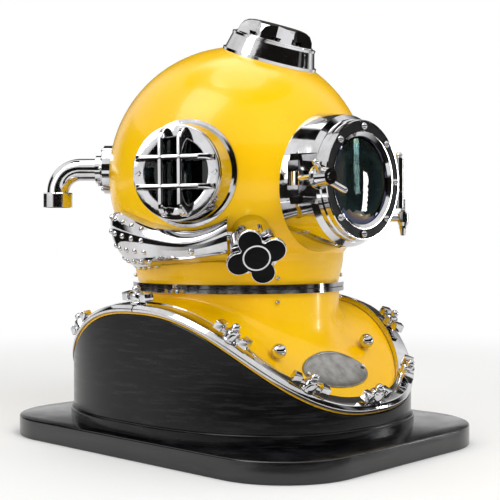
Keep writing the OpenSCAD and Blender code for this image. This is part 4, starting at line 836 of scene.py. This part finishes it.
# a side port's guard: a flat ring with four deep bars that arch over the window
guard = {"angle": 68.8, "rise": -1.4, "radius": 49.1, "window": 36, "top": 170, "low": 166.5, "sleeve": 43.1,
         "sleeveLow": 158.1, "barsX": 10.7, "barsY": 14.8, "barWidth": 5.8, "barRise": 14, "shoulder": 13,
         "barLow": 159.6, "barInset": 1.6, "barLift": 0.2, "barFoot": 1, "barRound": 1.3, "split": 0.02}


def guardBar(place, along, across, offset):
    half = math.sqrt((guard["radius"] - guard["barInset"]) ** 2 - (offset + guard["barWidth"] / 2) ** 2)
    inner = math.sqrt(guard["window"] ** 2 - (offset + guard["barWidth"] / 2) ** 2)
    shoulder = half - guard["shoulder"]
    stops = [half * math.sin(math.pi / 2 * s / 20) for s in range(21)]
    stops += [inner - guard["split"], inner + guard["split"]]
    stops = sorted({round(s, 3) for s in stops})
    stops = [-s for s in reversed(stops) if s > 0] + stops
    rings = []
    for s in stops:
        beyond = max(0, abs(s) - shoulder) / guard["shoulder"]
        top = guard["top"] + guard["barRise"] * math.sqrt(max(0, 1 - beyond ** 2)) + guard["barLift"]
        low = guard["barLow"] if abs(s) < inner else guard["top"] - guard["barFoot"]
        w = guard["barWidth"] / 2
        edge = min(guard["barRound"], (top - guard["top"]) * 0.6)
        section = [(-w, low), (w, low), (w, top - edge), (w - 0.3 * edge, top - 0.3 * edge), (w - edge, top),
                   (edge - w, top), (0.3 * edge - w, top - 0.3 * edge), (-w, top - edge)]
        rings.append([place @ (along * s + across * (offset + side) + Vector((0, 0, height)))
                      for side, height in section])
    return loft(rings, False)


def portGuard(name, side, node):
    place = outOfBonnet(side * guard["angle"], guard["rise"])
    profile = roundCorners([(guard["window"], guard["sleeveLow"], 0), (guard["window"], guard["top"], 1.0),
                            (guard["radius"], guard["top"], 1.2), (guard["radius"], guard["low"], 0.3),
                            (guard["sleeve"], guard["low"], 0), (guard["sleeve"], guard["sleeveLow"], 0)], 4)
    rings = [[place @ Vector((r * math.cos(2 * math.pi * i / 96), r * math.sin(2 * math.pi * i / 96), z))
              for r, z in profile] for i in range(96)]
    points, faces = loft(rings)
    level = Vector((1, 0, 0))
    upright = Vector((0, 1, 0))
    for along, across, offset in ((upright, level, guard["barsX"]), (level, upright, guard["barsY"])):
        for sign in (-1, 1):
            more, sides = guardBar(place, along, across * sign, offset)
            faces += [tuple(k + len(points) for k in face) for face in sides]
            points += more
    makePiece(name, points, faces, "chrome", [node], 35)


portGuard("rightGuard", 1, "right_port_guard")
portGuard("leftGuard", -1, "left_port_guard")

# the valve's lobed handwheel: a bright cast body with a black face let into it
handwheel = {"radius": 31.5, "lobe": 12.2, "hub": 18, "low": 200, "thick": 7, "firstLobe": 24, "angle": 41,
             "dip": 26, "blend": 11, "boss": (9, 196.2), "spindle": (4, 188)}


def wheelReach(turn, inset=0.0):
    offset = handwheel["radius"] - handwheel["lobe"]
    nearest = (turn - math.radians(handwheel["firstLobe"]) + math.pi / 4) % (math.pi / 2) - math.pi / 4
    side = offset * math.sin(nearest)
    lobe = 0
    if abs(side) < handwheel["lobe"]:
        lobe = offset * math.cos(nearest) + math.sqrt(handwheel["lobe"] ** 2 - side ** 2)
    blend = handwheel["blend"]
    return (lobe ** blend + handwheel["hub"] ** blend) ** (1 / blend) - inset


def wheelRing(height, inset, place, count=240):
    ring = []
    for i in range(count):
        a = 2 * math.pi * i / count
        reach = wheelReach(a, inset)
        ring.append(place @ Vector((reach * math.cos(a), reach * math.sin(a), height)))
    return ring


def makeHandwheel():
    place = outOfBonnet(handwheel["angle"], -handwheel["dip"])
    low = handwheel["low"]
    top = low + handwheel["thick"]
    body = [(low, 1.2), (low + 0.4, 0.4), (low + 1.2, 0), (top - 1.6, 0), (top - 0.8, 0.2), (top - 0.25, 0.6),
            (top - 0.25, 1.15), (top - 0.9, 1.25)]
    points, faces = loft([wheelRing(height, inset, place) for height, inset in body], False)
    makePiece("handwheelBody", points, faces, "chrome", ["exhaust_handwheel"], 40)
    face = [(top - 1.2, 1.25), (top - 0.5, 1.3), (top - 0.2, 1.8), (top - 0.05, 3.0)]
    points, faces = loft([wheelRing(height, inset, place) for height, inset in face], False)
    makePiece("handwheelFace", points, faces, "black_enamel", [], 40, nodeBody["exhaust_handwheel"])
    work = bmesh.new()
    for (radius, foot), segments in ((handwheel["boss"], 48), (handwheel["spindle"], 32)):
        latheShape(work, [(radius, foot), (radius, low + 0.5)], segments, place)
    finishPiece("handwheelBoss", shapeMesh("handwheelBoss", work), "chrome", [], 40,
                nodeBody["exhaust_handwheel"])


makeHandwheel()
print("channel and handwheel made")

# the camera, solved on the photo's outlines, in metres
cameraPlace = {"angle": -46.52, "distance": 1.2458, "height": 0.228, "yaw": -0.61, "pitch": -0.54,
               "lens": 76.82}


def placeCamera(place):
    angle = math.radians(place["angle"])
    heading = math.radians(place["angle"] + place["yaw"])
    pitch = math.radians(place["pitch"])
    forward = Vector((-math.sin(heading) * math.cos(pitch), math.cos(heading) * math.cos(pitch),
                      math.sin(pitch)))
    made = bpy.data.objects.new("camera", bpy.data.cameras.new("camera"))
    scene.collection.objects.link(made)
    made.data.lens = place["lens"]
    made.data.sensor_width = 36
    made.location = (place["distance"] * math.sin(angle), -place["distance"] * math.cos(angle),
                     place["height"])
    made.rotation_euler = forward.to_track_quat("-Z", "Y").to_euler()
    scene.camera = made


placeCamera(cameraPlace)

# a pale floor that fades into the backdrop, soft studio light, and cards that give the metal its contrast
studio = {"floor": "#f5f5f4", "floorSize": 6.0, "floorSunk": 0.0002, "fadeFrom": 0.55, "fadeTo": 1.5,
          "world": 0.5}
# from one heading to another in degrees, with (distance, height) of the two long edges in metres
cards = {
    "darkCard": {"start": -86, "end": 40},
    "narrowCard": {"start": 28, "end": 76, "soft": 0.25},
    "backCard": {"start": -184, "end": -128, "colour": "#121212", "low": (2.6, 0.3), "high": (2.6, 1.5),
                 "soft": 0.2},
    "overheadCard": {"start": -200, "end": 70, "colour": "#0c0b0a", "low": (0.55, 2.2), "high": (1.15, 2.2)},
    "behindCard": {"start": 80, "end": 172, "colour": "#4a4744", "low": (2.6, 0.5), "high": (1.2, 2.2),
                   "soft": 0.2},
    "floorCard": {"start": -112, "end": 62, "low": (0.42, 0.001), "high": (0.82, 0.001), "soft": 0.25},
    "lowCard": {"start": -180, "end": -75, "low": (0.3, 0.16), "high": (2.5, 0.16)},
}
# where each lamp stands, what it aims at, its size in metres and its power in watts
lamps = {
    "key": {"spot": (-0.4, -2.2, 1.9), "aim": (0, 0, 0.25), "size": (1.4, 1.4), "power": 33, "glossy": False},
    "sheen": {"spot": (-1.05, 0.1, 2.0), "aim": (0, 0, 0.3), "size": (1.1, 1.3), "power": 22,
              "diffuse": False},
    "fill": {"spot": (-2.4, 0.6, 1.2), "aim": (0, 0, 0.25), "size": (1.0, 1.6), "power": 16},
    "top": {"spot": (0.2, 0.2, 2.4), "aim": (0, 0, 0.2), "size": (1.6, 1.6), "power": 18},
    "strip": {"spot": (1.954, -1.554, 0.274), "aim": (0, -0.18, 0.29), "size": (0.13, 0.5), "power": 4},
}


def addFloor():
    s = studio["floorSize"]
    mesh = bpy.data.meshes.new("floor")
    mesh.from_pydata([(-s, -s, 0), (s, -s, 0), (s, s, 0), (-s, s, 0)], [], [(0, 1, 2, 3)])
    floor = bpy.data.objects.new("floor", mesh)
    scene.collection.objects.link(floor)
    floor.location.z = -studio["floorSunk"]
    made, tree, shader = newMaterial("pale floor")
    shader.inputs["Base Color"].default_value = hexColour(studio["floor"])
    shader.inputs["Roughness"].default_value = 0.6
    shader.inputs["Specular IOR Level"].default_value = 0.0
    # far from the stand the eye sees plain white, so that the floor has no edge
    white = addNode(tree, "ShaderNodeEmission", {"Strength": 1.0})
    spot = objectSpot(tree)
    reach = addNode(tree, "ShaderNodeVectorMath", links={0: spot}, operation="LENGTH").outputs["Value"]
    far = addNode(tree, "ShaderNodeMapRange", {"From Min": studio["fadeFrom"], "From Max": studio["fadeTo"]},
                  {"Value": reach}, interpolation_type="SMOOTHSTEP")
    paths = addNode(tree, "ShaderNodeLightPath")
    seen = addNode(tree, "ShaderNodeMath",
                   links={0: far.outputs["Result"], 1: paths.outputs["Is Camera Ray"]}, operation="MULTIPLY")
    both = addNode(tree, "ShaderNodeMixShader",
                   links={0: seen.outputs[0], 1: shader.outputs[0], 2: white.outputs[0]})
    tree.links.new(both.outputs[0], tree.nodes["Material Output"].inputs["Surface"])
    mesh.materials.append(made)


# a bent card between two headings, seen only in reflections
def addCard(name, start, end, colour="#1c1a18", low=(2.6, 0.0), high=(2.6, 1.45), soft=0.08, count=48):
    points = []
    for i in range(count + 1):
        a = math.radians(start + (end - start) * i / count)
        for radius, height in (low, high):
            points.append((radius * math.sin(a), -radius * math.cos(a), height))
    faces = [(2 * i, 2 * i + 1, 2 * i + 3, 2 * i + 2) for i in range(count)]
    mesh = bpy.data.meshes.new(name)
    mesh.from_pydata(points, [], faces)
    share = mesh.uv_layers.new(name="share")
    for corner in mesh.loops:
        share.data[corner.index].uv = (corner.vertex_index // 2 / count, corner.vertex_index % 2)
    card = bpy.data.objects.new(name, mesh)
    scene.collection.objects.link(card)
    made, tree, shader = newMaterial(name)
    shader.inputs["Base Color"].default_value = hexColour(colour)
    shader.inputs["Roughness"].default_value = 1.0
    shader.inputs["Specular IOR Level"].default_value = 0.0
    # its two ends fade out, so that no reflection has a hard upright edge
    place = addNode(tree, "ShaderNodeUVMap")
    along = addNode(tree, "ShaderNodeSeparateXYZ", links={0: place.outputs["UV"]})
    rising = addNode(tree, "ShaderNodeMapRange", {"From Min": 0, "From Max": soft},
                     {"Value": along.outputs["X"]})
    falling = addNode(tree, "ShaderNodeMapRange", {"From Min": 1, "From Max": 1 - soft},
                      {"Value": along.outputs["X"]})
    solid = addNode(tree, "ShaderNodeMath", links={0: rising.outputs["Result"], 1: falling.outputs["Result"]},
                    operation="MULTIPLY")
    tree.links.new(solid.outputs[0], shader.inputs["Alpha"])
    mesh.materials.append(made)
    card.visible_camera = False
    card.visible_diffuse = False
    card.visible_shadow = False
    card.visible_transmission = False


addFloor()
for name, card in cards.items():
    addCard(name, **card)


def addSoftbox(name, spot, aim, size, power, glossy=True, diffuse=True):
    lamp = bpy.data.lights.new(name, "AREA")
    lamp.shape = "RECTANGLE"
    lamp.size, lamp.size_y = size
    lamp.energy = power
    made = bpy.data.objects.new(name, lamp)
    made.location = spot
    made.rotation_euler = (Vector(aim) - Vector(spot)).to_track_quat("-Z", "Y").to_euler()
    made.visible_glossy = glossy
    made.visible_diffuse = diffuse
    scene.collection.objects.link(made)


for name, lamp in lamps.items():
    addSoftbox(name, **lamp)


def makeWorld():
    world = bpy.data.worlds.new("studio")
    scene.world = world
    world.use_nodes = True
    tree = world.node_tree
    background = tree.nodes["Background"]
    paths = addNode(tree, "ShaderNodeLightPath")
    seen = addNode(tree, "ShaderNodeMath", operation="MAXIMUM",
                   links={0: paths.outputs["Is Camera Ray"], 1: paths.outputs["Is Transmission Ray"]})
    both = addNode(tree, "ShaderNodeMath", operation="MAXIMUM",
                   links={0: seen.outputs[0], 1: paths.outputs["Is Glossy Ray"]})
    strength = addNode(tree, "ShaderNodeMapRange", {"To Min": studio["world"], "To Max": 1.0},
                       {"Value": both.outputs[0]})
    background.inputs["Color"].default_value = (1, 1, 1, 1)
    tree.links.new(strength.outputs["Result"], background.inputs["Strength"])


makeWorld()
scene.view_settings.view_transform = "Standard"
print("stage set")
